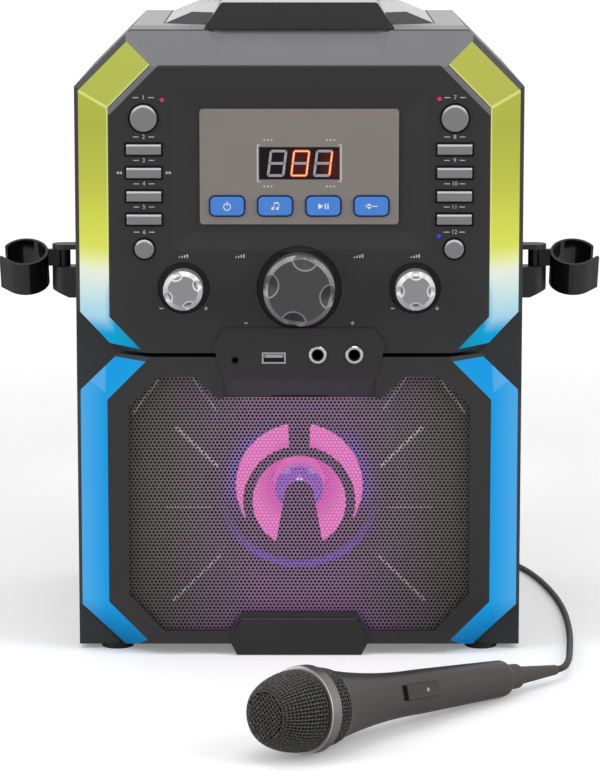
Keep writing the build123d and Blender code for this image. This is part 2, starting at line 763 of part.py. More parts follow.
with BuildPart() as aux_socket:
    with BuildSketch(front(y_tongue)):
        with Locations(aux_at):
            Circle(aux_r + 1.0)
    extrude(amount=-(tongue_proud + panel_thick))
    with BuildSketch(front(y_panel_back)):
        with Locations(aux_at):
            Rectangle(*aux_body)
    extrude(amount=-aux_depth)
    with BuildSketch(front(y_tongue)):
        with Locations(aux_at):
            Circle(aux_r)
    extrude(amount=-(tongue_proud + panel_thick + aux_depth - 1), mode=Mode.SUBTRACT)
aux_socket.part.label = "aux_socket"
export_step(aux_socket.part, "parts/aux_socket.step")

with BuildPart() as usb_socket:
    with BuildSketch(front(y_tongue)):
        with Locations(usb_at):
            Rectangle(usb_shell[0] + 1.2, usb_shell[1] + 1.0)
    extrude(amount=0.4)
    with BuildSketch(front(y_tongue)):
        with Locations(usb_at):
            Rectangle(*usb_shell)
    extrude(amount=-usb_depth)
    with BuildSketch(front(y_tongue - 0.4)):
        with Locations(usb_at):
            Rectangle(usb_shell[0] - 2 * usb_wall, usb_shell[1] - 2 * usb_wall)
    extrude(amount=-(usb_depth - 1), mode=Mode.SUBTRACT)
    with BuildSketch(front(y_tongue + 1)):
        with Locations((usb_at[0], usb_at[1] + 1.0)):
            Rectangle(11.1, 1.8)
    extrude(amount=-(usb_depth - 1.5))
usb_socket.part.label = "usb_socket"
export_step(usb_socket.part, "parts/usb_socket.step")

with BuildPart() as rear_sockets:
    with BuildSketch(front(y_rear)):
        with Locations(dc_at):
            Circle(dc_body_r)
        with Locations(*av_at):
            Circle(av_r)
    extrude(amount=y_rear - y_main_board)
    with BuildSketch(front(y_rear)):
        with Locations(dc_at):
            Circle(dc_body_r)
        with Locations(*av_at):
            Circle(av_r)
    extrude(amount=-socket_proud)
    with BuildSketch(front(y_rear + socket_proud)):
        with Locations(*av_at):
            Circle(av_r)
    extrude(amount=-(av_proud - socket_proud))
    with BuildSketch(front(y_rear + av_proud)):
        with Locations(dc_at):
            Circle(dc_r)
            Circle(1.05, mode=Mode.SUBTRACT)
        with Locations(*av_at):
            Circle(1.7)
    extrude(amount=av_proud + wall + 5, mode=Mode.SUBTRACT)
rear_sockets.part.label = "rear_sockets"
export_step(rear_sockets.part, "parts/rear_sockets.step")

# ---------------------------------------------------------------- loudspeaker


def round_profile(points):
    """Solid of revolution about the cone's axis; points are (radius, depth behind the baffle's back)."""
    with BuildPart(mode=Mode.PRIVATE) as shape:
        with BuildSketch(Plane.XY.offset(speaker_z)):
            with BuildLine():
                Polyline(*[(radius, y_baffle + depth) for radius, depth in points], close=True)
            make_face()
        revolve(axis=Axis((0, 0, speaker_z), (0, 1, 0)))
    return shape.part


with BuildPart() as speaker_grille:
    add(prism(grille_outline, y_grille, y_grille + grille_thick))
speaker_grille.part.label = "speaker_grille"
export_step(speaker_grille.part, "parts/speaker_grille.step")

guard_front = y_grille + grille_thick + fit_gap
guard_thick = y_baffle - guard_front
with BuildPart() as speaker_guard:
    with BuildSketch(front(guard_front)):
        with Locations((0, speaker_z)):
            Circle(guard_r)
            Circle(guard_outer_r, mode=Mode.SUBTRACT)
        with Locations((0, speaker_z - guard_arch_drop)):
            Circle(guard_arch_r)
            Circle(guard_inner_r, mode=Mode.SUBTRACT)
        with BuildLine():
            Polyline(
                *both_sides([(guard_spoke_top, speaker_z + guard_outer_r + 1),
                             (guard_spoke_top - 1, speaker_z + guard_arch_r - guard_arch_drop - 1)]), close=True)
        make_face()
        with BuildLine():
            foot_z = speaker_z - guard_outer_r - 1
            Polyline(*both_sides([(guard_spoke_mid, speaker_z - 6), (guard_spoke_foot, foot_z)]), close=True)
        make_face()
        with Locations((0, speaker_z - 6)):
            Circle(guard_spoke_mid)
    extrude(amount=-guard_thick)
    with BuildSketch(front(guard_front)):
        with Locations((0, speaker_z)):
            Circle(light_ring_r[1])
            Circle(light_ring_r[0], mode=Mode.SUBTRACT)
    extrude(amount=-light_ring_thick, mode=Mode.SUBTRACT)
speaker_guard.part.label = "speaker_guard"
export_step(speaker_guard.part, "parts/speaker_guard.step")

with BuildPart() as light_ring:
    with BuildSketch(front(guard_front)):
        with Locations((0, speaker_z)):
            Circle(light_ring_r[1])
            Circle(light_ring_r[0], mode=Mode.SUBTRACT)
    extrude(amount=-light_ring_thick)
light_ring.part.label = "light_ring"
export_step(light_ring.part, "parts/light_ring.step")

flange_back = 3.0
basket_neck_r = 24.0
frame_ring_inner = cone_r + 1.0
with BuildPart() as speaker_frame:
    add(round_profile([
        (frame_ring_inner, 0.0), (speaker_ring_r, 0.0), (speaker_ring_r, flange_back),
        (frame_ring_inner + 3, flange_back), (basket_neck_r + 3, basket_depth), (0.5, basket_depth),
        (0.5, basket_depth - 2), (basket_neck_r, basket_depth - 2), (frame_ring_inner, flange_back)]))
    # four windows in the basket
    with BuildSketch(front(y_baffle + flange_back + 6)):
        with Locations((0, speaker_z)):
            with PolarLocations(40, 4, start_angle=45):
                Rectangle(18, 26)
    extrude(amount=-(basket_depth - flange_back - 14), mode=Mode.SUBTRACT)
speaker_frame.part.label = "speaker_frame"
export_step(speaker_frame.part, "parts/speaker_frame.step")

with BuildPart() as speaker_cone:
    add(round_profile([
        (dome_r, cone_depth), (cone_r - 5, 2.0), (cone_r - 2.5, 0.4), (cone_r + 1.0, 1.0), (cone_r + 1.0, 1.8),
        (cone_r - 2.5, 1.4), (cone_r - 5, 3.0), (dome_r + 0.4, cone_depth + cone_thick),
        (dome_r - 1, cone_depth + cone_thick), (dome_r - 1, cone_depth)]))
speaker_cone.part.label = "speaker_cone"
export_step(speaker_cone.part, "parts/speaker_cone.step")

dome_rise = 13.0
dome_sphere_r = (dome_r ** 2 + dome_rise ** 2) / (2 * dome_rise)
dome_half_angle = atan(dome_rise / dome_r)       # half of the angle from the dome's axis to its rim
with BuildPart() as dust_dome:
    with BuildSketch(Plane.XY.offset(speaker_z)):
        with BuildLine():
            y_rim = y_baffle + cone_depth
            ThreePointArc((dome_r, y_rim),
                          (dome_sphere_r * sin(dome_half_angle),
                           y_rim - dome_rise + dome_sphere_r * (1 - cos(dome_half_angle))),
                          (0, y_rim - dome_rise))
            Line((0, y_rim - dome_rise), (0, y_rim))
            Line((0, y_rim), (dome_r, y_rim))
        make_face()
    revolve(axis=Axis((0, 0, speaker_z), (0, 1, 0)))
dust_dome.part.label = "dust_dome"
export_step(dust_dome.part, "parts/dust_dome.step")

with BuildPart() as speaker_magnet:
    with BuildSketch(front(y_baffle + basket_depth)):
        with Locations((0, speaker_z)):
            Circle(magnet_r)
    extrude(amount=-magnet_thick)
    chamfer(speaker_magnet.edges(), 1.0)
speaker_magnet.part.label = "speaker_magnet"
export_step(speaker_magnet.part, "parts/speaker_magnet.step")

# ---------------------------------------------------------------- disc well and mechanism
post_height = 10.0
chassis_top = well_floor - well_wall - post_height
chassis_half = (62.0, 73.0)
chassis_thick = 2.0
flange_half_x = lid_wing_half + 6.0
flange_y = (-56.0, 111.0)
slot_width = 24.0
well_post_half, well_post_r = 40.0, 4.0
slot_from = 14.0
motor_r = 9.0
motor_height = 5.0
rod_lift = 4.0            # rods above the chassis
lens_r = 4.0
lens_rise = 1.5

with BuildPart() as disc_well:
    with BuildSketch(Plane.XY.offset(deck_under)):
        with Locations((0, sum(flange_y) / 2)):
            Rectangle(2 * flange_half_x, flange_y[1] - flange_y[0])
    extrude(amount=-well_wall)
    with BuildSketch(Plane.XY.offset(deck_under)):
        with Locations((0, disc_y)):
            Circle(well_r + well_wall)
    extrude(amount=-(well_depth + well_wall))
    with BuildSketch(Plane.XY.offset(deck_under)):
        with Locations((0, disc_y)):
            Circle(well_r)
    extrude(amount=-well_depth, mode=Mode.SUBTRACT)
    with BuildSketch(Plane.XY.offset(well_floor)):
        with Locations((0, disc_y)):
            Circle(hub_hole_r)
        with Locations((0, disc_y - slot_from - (well_r - slot_from) / 2)):
            Rectangle(slot_width, well_r - slot_from - 3)
    extrude(amount=-well_wall, mode=Mode.SUBTRACT)
    # four posts down to the chassis
    with BuildSketch(Plane.XY.offset(well_floor - well_wall)):
        with Locations((0, disc_y)):
            with GridLocations(2 * well_post_half, 2 * well_post_half, 2, 2):
                Circle(well_post_r)
    extrude(amount=-post_height)
disc_well.part.label = "disc_well"
export_step(disc_well.part, "parts/disc_well.step")

rod_z = chassis_top + rod_lift
rod_to = disc_y - 10.0
rod_from = rod_to - sled_travel - rod_beyond_travel
rod_block = 6.0
with BuildPart() as disc_chassis:
    with BuildSketch(Plane.XY.offset(chassis_top)):
        with Locations((0, disc_y)):
            Rectangle(2 * chassis_half[0], 2 * chassis_half[1])
    extrude(amount=-chassis_thick)
    # rod blocks and rods of the pickup sled
    with BuildSketch(Plane.XY.offset(chassis_top)):
        with Locations(*[(sx * rod_x, y) for sx in (-1, 1) for y in (rod_from, rod_to)]):
            Rectangle(rod_block, 3.0)
    extrude(amount=rod_lift + 2.5)
    with BuildSketch(front(rod_to)):
        with Locations((-rod_x, rod_z), (rod_x, rod_z)):
            Circle(rod_r)
    extrude(amount=rod_to - rod_from)
    # spindle motor, with the bore that the turntable's shaft runs in
    with BuildSketch(Plane.XY.offset(chassis_top)):
        with Locations((0, disc_y)):
            Circle(motor_r)
    extrude(amount=motor_height)
    with BuildSketch(Plane.XY.offset(chassis_top + motor_height)):
        with Locations((0, disc_y)):
            Circle(shaft_r + running_gap)
    extrude(amount=-motor_height, mode=Mode.SUBTRACT)
disc_chassis.part.label = "disc_chassis"
export_step(disc_chassis.part, "parts/disc_chassis.step")

hub_top = well_floor + 3.5
with BuildPart() as turntable:
    with BuildSketch(Plane.XY.offset(hub_top)):
        with Locations((0, disc_y)):
            Circle(hub_r)
    extrude(amount=-3.0)
    with BuildSketch(Plane.XY.offset(hub_top)):
        with Locations((0, disc_y)):
            Circle(spindle_r)
    extrude(amount=3.2)
    chamfer(turntable.edges().group_by(Axis.Z)[-1], 1.0)
    with BuildSketch(Plane.XY.offset(hub_top - 3.0)):
        with Locations((0, disc_y)):
            Circle(shaft_r)
    extrude(amount=-(hub_top - 3.0 - chassis_top - fit_gap))
turntable.part.label = "turntable"
export_step(turntable.part, "parts/turntable.step")

sled_y = disc_y - sled_rest
with BuildPart() as pickup_sled:
    with BuildSketch(Plane.XY.offset(rod_z - 2.5)):
        with Locations((0, sled_y)):
            Rectangle(sled_size[0], sled_size[1])
    extrude(amount=sled_size[2])
    with BuildSketch(Plane.XY.offset(rod_z - 2.5 + sled_size[2])):
        with Locations((0, sled_y)):
            Circle(lens_r)
    extrude(amount=lens_rise)
    with BuildSketch(front(sled_y - sled_size[1] / 2)):
        with Locations((-rod_x, rod_z), (rod_x, rod_z)):
            Circle(rod_r + running_gap)
    extrude(amount=-sled_size[1], mode=Mode.SUBTRACT)
pickup_sled.part.label = "pickup_sled"
export_step(pickup_sled.part, "parts/pickup_sled.step")

# ---------------------------------------------------------------- lid
lid_low_z = deck_z - lid_sink
tab_low_z = deck_z + fit_gap


def wing_corner(side):
    """Plane of one wing's slanted front, leaning back from its foot on the deck."""
    foot_in = Vector(side * wing_foot_x, wing_front_y, deck_z)
    foot_out = Vector(side * lid_wing_half, wing_side_y, deck_z)
    along = (foot_out - foot_in).normalized()
    back_up = Vector(-side * along.Y, side * along.X, 0) * wing_slope_run * 0.4 + Vector(0, 0, lid_wing_rise)
    return Plane(origin=foot_in, x_dir=along, z_dir=along.cross(back_up) * side)


def lid_shell(inset, low_z, tab_z):
    """Raised middle and lower wings, made smaller by the given wall."""
    front_y, back_y = y_bevel + inset, lid_rear_y - inset
    with BuildPart(mode=Mode.PRIVATE) as shape:
        add(prism(both_sides([(lid_wing_top_half - inset / 2, deck_z + lid_wing_rise - inset),
                              (lid_wing_half - inset, deck_z - 0.3 * inset), (lid_wing_half - inset, low_z)]),
                  wing_front_y + inset, back_y))
        with BuildSketch(Plane.XY.offset(low_z)):
            with BuildLine():
                Polyline(*both_sides([(wing_foot_x - inset, wing_front_y + inset),
                                      (lid_wing_half - inset, wing_side_y + inset),
                                      (lid_wing_half - inset, back_y)]), close=True)
            make_face()
        extrude(amount=deck_z + lid_wing_rise - low_z, mode=Mode.INTERSECT)
        for side in (-1, 1):
            split(bisect_by=wing_corner(side).offset(-inset), keep=Keep.BOTTOM)
        with BuildPart(mode=Mode.PRIVATE) as middle:
            add(prism(both_sides([(lid_top_half - inset / 2, deck_z + lid_rise - inset),
                                  (lid_tab_half - inset, tab_z)]), front_y, back_y))
            fillet(middle.edges().filter_by(Axis.Y).group_by(Axis.Z)[-1], lid_corner)
        add(middle.part)
    return shape.part


with BuildPart() as disc_lid:
    add(lid_shell(0.0, lid_low_z, tab_low_z))
    add(lid_shell(lid_wall, lid_low_z - 1, tab_low_z - 1), mode=Mode.SUBTRACT)
    # rolled rear edge with the two hinge pins
    with BuildSketch(Plane.YZ.offset(-lid_tab_half)):
        with Locations((hinge_y, hinge_z)):
            Circle(hinge_r)
        with Locations(((lid_rear_y - 1.5 + hinge_y) / 2, hinge_z + 0.4)):
            Rectangle(hinge_y - lid_rear_y + 1.5, 4.0)
    extrude(amount=2 * lid_tab_half)
    pin_half = lug_x + lug_width / 2
    with BuildSketch(Plane.YZ.offset(-pin_half)):
        with Locations((hinge_y, hinge_z)):
            Circle(hinge_pin_r)
    extrude(amount=2 * pin_half)
disc_lid.part.label = "disc_lid"
export_step(disc_lid.part, "parts/disc_lid.step")

# ---------------------------------------------------------------- microphone holders
bracket_low = pin_z[0] - bracket_foot
bracket_top = pin_z[1] + bracket_plate
foot_slope = 5.0


def bracket_plan(side):
    """Plan of the bracket's plates: a strip with a round end about the pin, for the open sketch."""
    with Locations((side * (cab_half + pin_x) / 2, holder_y)):
        Rectangle(pin_x - cab_half, 2 * bracket_half)
    with Locations((side * pin_x, holder_y)):
        Circle(bracket_half)


with BuildPart() as holder_brackets:
    for side in (-1, 1):
        with BuildSketch(Plane.XY.offset(pin_z[0])):
            bracket_plan(side)
        extrude(amount=-bracket_foot)
        with BuildSketch(Plane.XY.offset(pin_z[1])):
            bracket_plan(side)
        extrude(amount=bracket_plate)
        with BuildSketch(Plane.XY.offset(bracket_low)):
            with Locations((side * (cab_half + 1.5), holder_y)):
                Rectangle(3.0, 2 * bracket_half)
        extrude(amount=bracket_top - bracket_low)
        with BuildSketch(Plane.XY.offset(pin_z[0])):
            with Locations((side * pin_x, holder_y)):
                Circle(pin_r)
        extrude(amount=pin_z[1] - pin_z[0])
        # the foot of the block slopes up towards its outer end
        with BuildSketch(front(holder_y - bracket_half)):
            with BuildLine():
                Polyline((side * (cab_half + 8), bracket_low), (side * (pin_x + bracket_half), bracket_low),
                         (side * (pin_x + bracket_half), bracket_low + foot_slope), close=True)
            make_face()
        extrude(amount=-2 * bracket_half, mode=Mode.SUBTRACT)
holder_brackets.part.label = "holder_brackets"
export_step(holder_brackets.part, "parts/holder_brackets.step")


def holder(side):
    """Open ring for a microphone handle, tilted forwards, on an arm that turns about the pin."""
    tilt = radians(holder_tilt)
    ring = Plane(origin=(side * holder_x, holder_y, holder_z), x_dir=(1, 0, 0),
                 z_dir=(0, -sin(tilt), cos(tilt)))
    outer_r = holder_bore_r + holder_wall
    knuckle_low = pin_z[0] + fit_gap
    knuckle_height = pin_z[1] - pin_z[0] - 2 * fit_gap
    reach = 2 * outer_r
    with BuildPart(mode=Mode.PRIVATE) as clip:
        with BuildSketch(ring.offset(-holder_height / 2)):
            Circle(outer_r)
        extrude(amount=holder_height)
        with BuildSketch(Plane.XY.offset(knuckle_low)):
            with Locations((side * pin_x, holder_y)):
                Circle(knuckle_r)
            with Locations((side * (pin_x + holder_x - holder_bore_r) / 2, holder_y)):
                Rectangle(holder_x - holder_bore_r - pin_x, arm_thick)
        extrude(amount=knuckle_height)
        with BuildSketch(Plane.XY.offset(knuckle_low)):
            with Locations((side * pin_x, holder_y)):
                Circle(pin_r + running_gap)
        extrude(amount=knuckle_height, mode=Mode.SUBTRACT)
        with BuildSketch(ring.offset(-holder_height)):
            Circle(holder_bore_r)
            with BuildLine():
                Polyline((0, 0), *[(side * reach * cos(radians(turn)), reach * sin(radians(turn)))
                                   for turn in (lead_turn, mouth_back)], close=True)
            make_face()
        extrude(amount=2 * holder_height, mode=Mode.SUBTRACT)
        # straight lead-in, which guides a handle through the open side
        leave = radians(lead_turn)
        corners = ((holder_bore_r, 0), (outer_r, 0), (outer_r, lead_length), (holder_bore_r, lead_length))
        with BuildSketch(ring.offset(-holder_height / 2)):
            with BuildLine():
                Polyline(*[(side * (r * cos(leave) - along * sin(leave)), r * sin(leave) + along * cos(leave))
                           for r, along in corners], close=True)
            make_face()
        extrude(amount=holder_height)
    return clip.part


for name, side in (("holder_left", -1), ("holder_right", 1)):
    clip = holder(side)
    clip.label = name
    export_step(clip, f"parts/{name}.step")

# ---------------------------------------------------------------- microphone
mic_tilt = atan((mic_band_r - mic_tail_r) / (mic_tail - mic_band_half))
heading = radians(mic_heading)
band_z = mic_band_r * cos(mic_tilt) + mic_band_half * sin(mic_tilt)
mic_axis = Vector(cos(heading) * cos(mic_tilt), sin(heading) * cos(mic_tilt), -sin(mic_tilt))
mic_start = Vector(mic_band_at[0], mic_band_at[1], band_z)
upright = (Vector(0, 0, 1) - mic_axis * mic_axis.Z).normalized()
sideways = mic_axis.cross(upright)
switch_roll = radians(72.0)
switch_normal = upright * cos(switch_roll) + sideways * sin(switch_roll)
mic_plane = Plane(origin=mic_start, x_dir=mic_axis, z_dir=mic_axis.cross(switch_normal))
mic_line = Axis(mic_start, mic_axis)
band_seat_r = 20.0
mesh_band_end = 14.4
switch_from, switch_to = 66.0, 98.0
switch_width = 9.0
switch_floor, switch_top = 11.2, 13.9
switch_play = 0.3
switch_travel = 4.0

with BuildPart() as mic_grille:
    with BuildSketch(mic_plane):
        with BuildLine():
            head = -mic_head_len
            Polyline((-mic_band_half, 23.4), (-mic_band_half, band_seat_r), (mic_band_half, band_seat_r),
                     (mic_band_half, 22.9), (mesh_band_end, 22.3), (mesh_band_end, 0), (head, 0), (head, 13.0))
            ThreePointArc((head, 13.0), (head + 3.0, 16.8), (head + 9.0, 19.9))
            ThreePointArc((head + 9.0, 19.9), (head + 18.0, 22.4), (-mic_band_half, 23.4))
        make_face()
    revolve(axis=mic_line)
mic_grille.part.label = "mic_grille"
export_step(mic_grille.part, "parts/mic_grille.step")

with BuildPart() as mic_collar:
    with BuildSketch(mic_plane):
        with BuildLine():
            Polyline((-mic_band_half, band_seat_r), (mic_band_half, band_seat_r), (mic_band_half, mic_band_r),
                     (-mic_band_half, mic_band_r), close=True)
        make_face()
    revolve(axis=mic_line)
mic_collar.part.label = "mic_collar"
export_step(mic_collar.part, "parts/mic_collar.step")

with BuildPart() as mic_handle:
    with BuildSketch(mic_plane):
        with BuildLine():
            Polyline((mesh_band_end, 0), (mesh_band_end, 21.6), (16.9, 21.0), (18.4, 19.9))
            ThreePointArc((18.4, 19.9), (48.0, 15.1), (92.0, 12.7))
            Line((92.0, 12.7), (mic_tail - 4, mic_tail_r))
            ThreePointArc((mic_tail - 4, mic_tail_r), (mic_tail - 1.2, mic_tail_r - 1.2), (mic_tail, mic_tail_r - 4))
            Polyline((mic_tail, mic_tail_r - 4), (mic_tail, 0), (mesh_band_end, 0))
        make_face()
    revolve(axis=mic_line)
    with BuildSketch(mic_plane.offset(-switch_width / 2)):
        with BuildLine():
            Polyline((switch_from, switch_floor), (switch_to, switch_floor), (switch_to, 20), (switch_from, 20),
                     close=True)
        make_face()
    extrude(amount=switch_width, mode=Mode.SUBTRACT)
mic_handle.part.label = "mic_handle"
export_step(mic_handle.part, "parts/mic_handle.step")

with BuildPart() as mic_switch:
    with BuildSketch(mic_plane.offset(-switch_width / 2 + switch_play)):
        with BuildLine():
            Polyline((switch_from + switch_travel + switch_play, switch_floor + switch_play),
                     (switch_to - switch_play, switch_floor + switch_play), (switch_to - switch_play, switch_top - 0.6),
                     (switch_from + switch_travel + switch_play, switch_top - 0.2), close=True)
        make_face()
    extrude(amount=switch_width - 2 * switch_play)
mic_switch.part.label = "mic_switch"
export_step(mic_switch.part, "parts/mic_switch.step")

boot_end = mic_tail + boot_len
bush_len = 13.0
with BuildPart() as mic_strain_relief:
    with BuildSketch(mic_plane):
        with BuildLine():
            Polyline((mic_tail, 0), (mic_tail, 7.6), (mic_tail + bush_len - 2, 7.2), (mic_tail + bush_len, 5.4),
                     (boot_end, cord_r + 0.9), (boot_end, 0), close=True)
        make_face()
    revolve(axis=mic_line)
    with BuildSketch(Plane(origin=mic_start + mic_axis * mic_tail, x_dir=upright, z_dir=mic_axis)):
        with PolarLocations(8.3, 12):
            Circle(1.1)
    extrude(amount=bush_len, mode=Mode.SUBTRACT)
mic_strain_relief.part.label = "mic_strain_relief"
export_step(mic_strain_relief.part, "parts/mic_strain_relief.step")

# ---------------------------------------------------------------- microphone cord
cord_z = cord_r + 0.05
cord_start = mic_start + mic_axis * boot_end
first_run = 8.0
coil_at = (66.0, 152.0)
coil_mid_r = 22.0
coil_bundle_r = 8.0
cord_route = [
    tuple(cord_start), tuple(cord_start + mic_axis * first_run),
    (161.0, -158.0, 6.2), (163.4, -137.0, 4.3), (165.6, -111.0, 2.7), (168.2, -82.0, cord_z),
    (169.8, -50.0, cord_z), (170.2, -16.0, cord_z), (168.8, 18.0, cord_z), (165.4, 51.0, cord_z),
    (160.6, 82.0, cord_z), (154.0, 111.0, cord_z), (143.5, 137.0, cord_z), (126.0, 158.0, cord_z),
    (104.0, 170.0, 2.6), (84.0, 174.0, 4.0), (70.0, 174.2, 5.2)]


def corner_radii(route):
    """Arc at each inner point of a route: 0.45 of the shorter run over the tangent of half the turn."""
    radii = []
    for before, here, after in zip(route, route[1:], route[2:]):
        run_in = Vector(*here) - Vector(*before)
        run_out = Vector(*after) - Vector(*here)
        half_turn = radians(run_in.get_angle(run_out)) / 2
        radii.append(0.45 * min(run_in.length, run_out.length) / tan(half_turn))
    return radii


cord_radii = corner_radii(cord_route)
print("cord corner radii", [round(r, 1) for r in cord_radii])
with BuildPart() as mic_cord:
    with BuildLine() as cord_path:
        FilletPolyline(*cord_route, radius=cord_radii)
    with BuildSketch(Plane(origin=cord_path.line @ 0, z_dir=cord_path.line % 0)):
        Circle(cord_r)
    sweep(path=cord_path.line)
mic_cord.part.label = "mic_cord"
export_step(mic_cord.part, "parts/mic_cord.step")
cord_length = sum(edge.length for edge in cord_path.edges())
print("cord length", round(cord_length, 1), "volume over section times length",
      round(mic_cord.part.volume / (pi * cord_r ** 2 * cord_length), 4))

with BuildPart() as mic_cord_coil:
    with BuildSketch(Plane.XZ.offset(-coil_at[1])):
        with Locations((coil_at[0] + coil_mid_r, coil_bundle_r)):
            Circle(coil_bundle_r)
    revolve(axis=Axis((coil_at[0], coil_at[1], 0), (0, 0, 1)))
mic_cord_coil.part.label = "mic_cord_coil"
export_step(mic_cord_coil.part, "parts/mic_cord_coil.step")

plug_y = coil_at[1] - coil_mid_r
plug_body_r = 6.0
plug_start_x = coil_at[0] - 16.0
with BuildPart() as mic_plug:
    with BuildSketch(Plane(origin=(0, plug_y, plug_body_r), z_dir=(0, 0, 1))):
        with BuildLine():
            Polyline((plug_start_x, 0), (plug_start_x, cord_r + 0.4), (plug_start_x - 14, 3.6),
                     (plug_start_x - 15, plug_body_r), (plug_start_x - 48, plug_body_r),
                     (plug_start_x - 50, mic_jack_r - 0.05), (plug_start_x - 75, mic_jack_r - 0.05),
                     (plug_start_x - 77, 2.2), (plug_start_x - 79, mic_jack_r - 0.1), (plug_start_x - 81, 0),
                     close=True)
        make_face()
    revolve(axis=Axis((0, plug_y, plug_body_r), (1, 0, 0)))
mic_plug.part.label = "mic_plug"
export_step(mic_plug.part, "parts/mic_plug.step")
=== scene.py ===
"""Karaoke machine with a disc well: finishes, loudspeaker guard, lights, microphone and cord."""

import json
from math import atan, atan2, cos, hypot, pi, radians, sin, sqrt, tan

import bmesh
import bpy
from bpy.props import FloatProperty, FloatVectorProperty, IntProperty, PointerProperty
from mathutils import Matrix, Vector


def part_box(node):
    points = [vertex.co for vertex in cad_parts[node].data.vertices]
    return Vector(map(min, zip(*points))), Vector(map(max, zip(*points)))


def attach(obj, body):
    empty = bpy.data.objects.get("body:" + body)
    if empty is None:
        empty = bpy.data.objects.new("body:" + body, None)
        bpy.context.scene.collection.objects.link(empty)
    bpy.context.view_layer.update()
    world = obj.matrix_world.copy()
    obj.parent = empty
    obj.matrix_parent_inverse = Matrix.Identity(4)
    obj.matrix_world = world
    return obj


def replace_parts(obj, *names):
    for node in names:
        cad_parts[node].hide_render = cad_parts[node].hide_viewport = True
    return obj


bl_info = {
    "name": "Karaoke machine",
    "version": (1, 0, 0),
    "blender": (4, 5, 0),
    "location": "3D View > Sidebar > Karaoke",
    "description": "Dresses the frame of a karaoke machine with its finishes, lights, microphone and cord",
    "category": "Add Mesh",
}

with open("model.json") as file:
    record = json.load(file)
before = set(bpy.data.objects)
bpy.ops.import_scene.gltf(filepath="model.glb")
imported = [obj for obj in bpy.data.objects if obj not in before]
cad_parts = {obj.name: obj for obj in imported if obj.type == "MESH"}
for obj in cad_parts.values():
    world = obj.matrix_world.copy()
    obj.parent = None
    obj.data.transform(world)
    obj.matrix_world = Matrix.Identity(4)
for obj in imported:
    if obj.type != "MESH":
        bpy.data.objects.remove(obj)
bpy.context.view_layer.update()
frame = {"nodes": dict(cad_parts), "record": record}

MM = 0.001
MACHINE = "machine"


def shade(red, green, blue):
    """Scene colour of an 8-bit display colour."""
    return tuple((c / 255 / 12.92) if c <= 10 else ((c / 255 + 0.055) / 1.055) ** 2.4
                 for c in (red, green, blue))


def scaled(tint, share):
    """A colour darker or lighter by a share, as far as white."""
    return tuple(min(1.0, c * share) for c in tint)


def box_of(node):
    """Lowest and highest corner of a node, in millimetres."""
    return [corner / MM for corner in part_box(node)]


def face_of(node):
    """A node's middle in X and Z, its front in Y and half its height, in millimetres."""
    low, high = box_of(node)
    return (low.x + high.x) / 2, (low.z + high.z) / 2, low.y, (high.z - low.z) / 2


# ---------------------------------------------------------------- sizes and colours a user would change

def length(name, text, value):
    """A length property, in metres, from millimetres."""
    return FloatProperty(name=name, description=text, default=value * MM, min=0.0, unit="LENGTH", precision=5)


def colour(name, text, *display):
    """A colour property from an 8-bit display colour."""
    return FloatVectorProperty(name=name, description=text, default=shade(*display), min=0.0, max=1.0,
                               subtype="COLOR", size=3)


class CasingFinish(bpy.types.PropertyGroup):
    casing: colour("Casing", "Black plastic of the cabinet", 36, 36, 37)
    # painted light: the black casing's top bevel, painted satin grey where the light falls on it
    painted_top_light: colour("Bevel", "Satin grey of the top bevel", 104, 104, 106)
    # painted light: the black casing's deck beside the lid, painted satin grey where the light falls on it
    deck: colour("Deck", "Satin grey of the deck beside the lid", 150, 150, 152)
    panel: colour("Panel", "Fine matt plastic of the control panel", 36, 36, 36)
    lid: colour("Lid", "Satin black of the lid", 46, 46, 47)
    gloss: colour("Holders", "Gloss black of the holders", 9, 9, 10)
    display: colour("Display panel", "Warm grey around the display", 124, 118, 113)
    silver: colour("Silver buttons", "Paint of the round and bar buttons", 122, 122, 123)
    blue: colour("Blue buttons", "Buttons under the display", 65, 125, 205)
    knob: colour("Large knob", "Dark brushed metal", 68, 68, 69)
    small_knob: colour("Small knobs", "Light brushed metal", 140, 140, 141)


class LightFinish(bpy.types.PropertyGroup):
    lower_inner: colour("Lower bar, inner", "Blue of the lower light bars", 0, 155, 228)
    lower_outer: colour("Lower bar, outer", "Paler outer edge of the lower light bars", 70, 168, 232)
    speaker: colour("Loudspeaker", "Pink light on the cone", 240, 140, 215)
    windows: colour("Guard windows", "Pink light on the mesh before the guard's windows", 178, 46, 142)
    haze: colour("Haze", "Violet light on the mesh round the windows", 78, 20, 90)
    digit: colour("Digit", "Lit bar of a digit", 250, 96, 48)
    digit_core: colour("Digit core", "Bright middle of a lit bar", 255, 214, 150)


class GuardMesh(bpy.types.PropertyGroup):
    pitch: length("Hole pitch", "Middle to middle of neighbouring holes", 2.37)
    hole: length("Hole radius", "Corner radius of one six-sided hole", 0.86)
    rib: length("Rib height", "How far a pressed rib stands out", 0.8)
    metal: colour("Metal", "Painted sheet", 104, 101, 94)
    # painted highlight: the colour on the ribs' tops where they catch the light
    crest: colour("Crest", "Sheet worn bright on the ribs", 176, 174, 168)


class MicrophoneLook(bpy.types.PropertyGroup):
    wire: length("Wire radius", "Wire of the woven head", 0.42)
    pitch: length("Mesh pitch", "Middle to middle of neighbouring wires", 2.25)
    body: colour("Handle", "Satin dark paint", 70, 68, 66)
    band: colour("Band", "Satin grey metal", 118, 116, 113)


class CordLook(bpy.types.PropertyGroup):
    radius: length("Radius", "Radius of the microphone's cord", 2.0)
    turns: IntProperty(name="Turns", description="Turns of the stored coil", default=10, min=1)
    jacket: colour("Jacket", "Black jacket", 28, 28, 30)


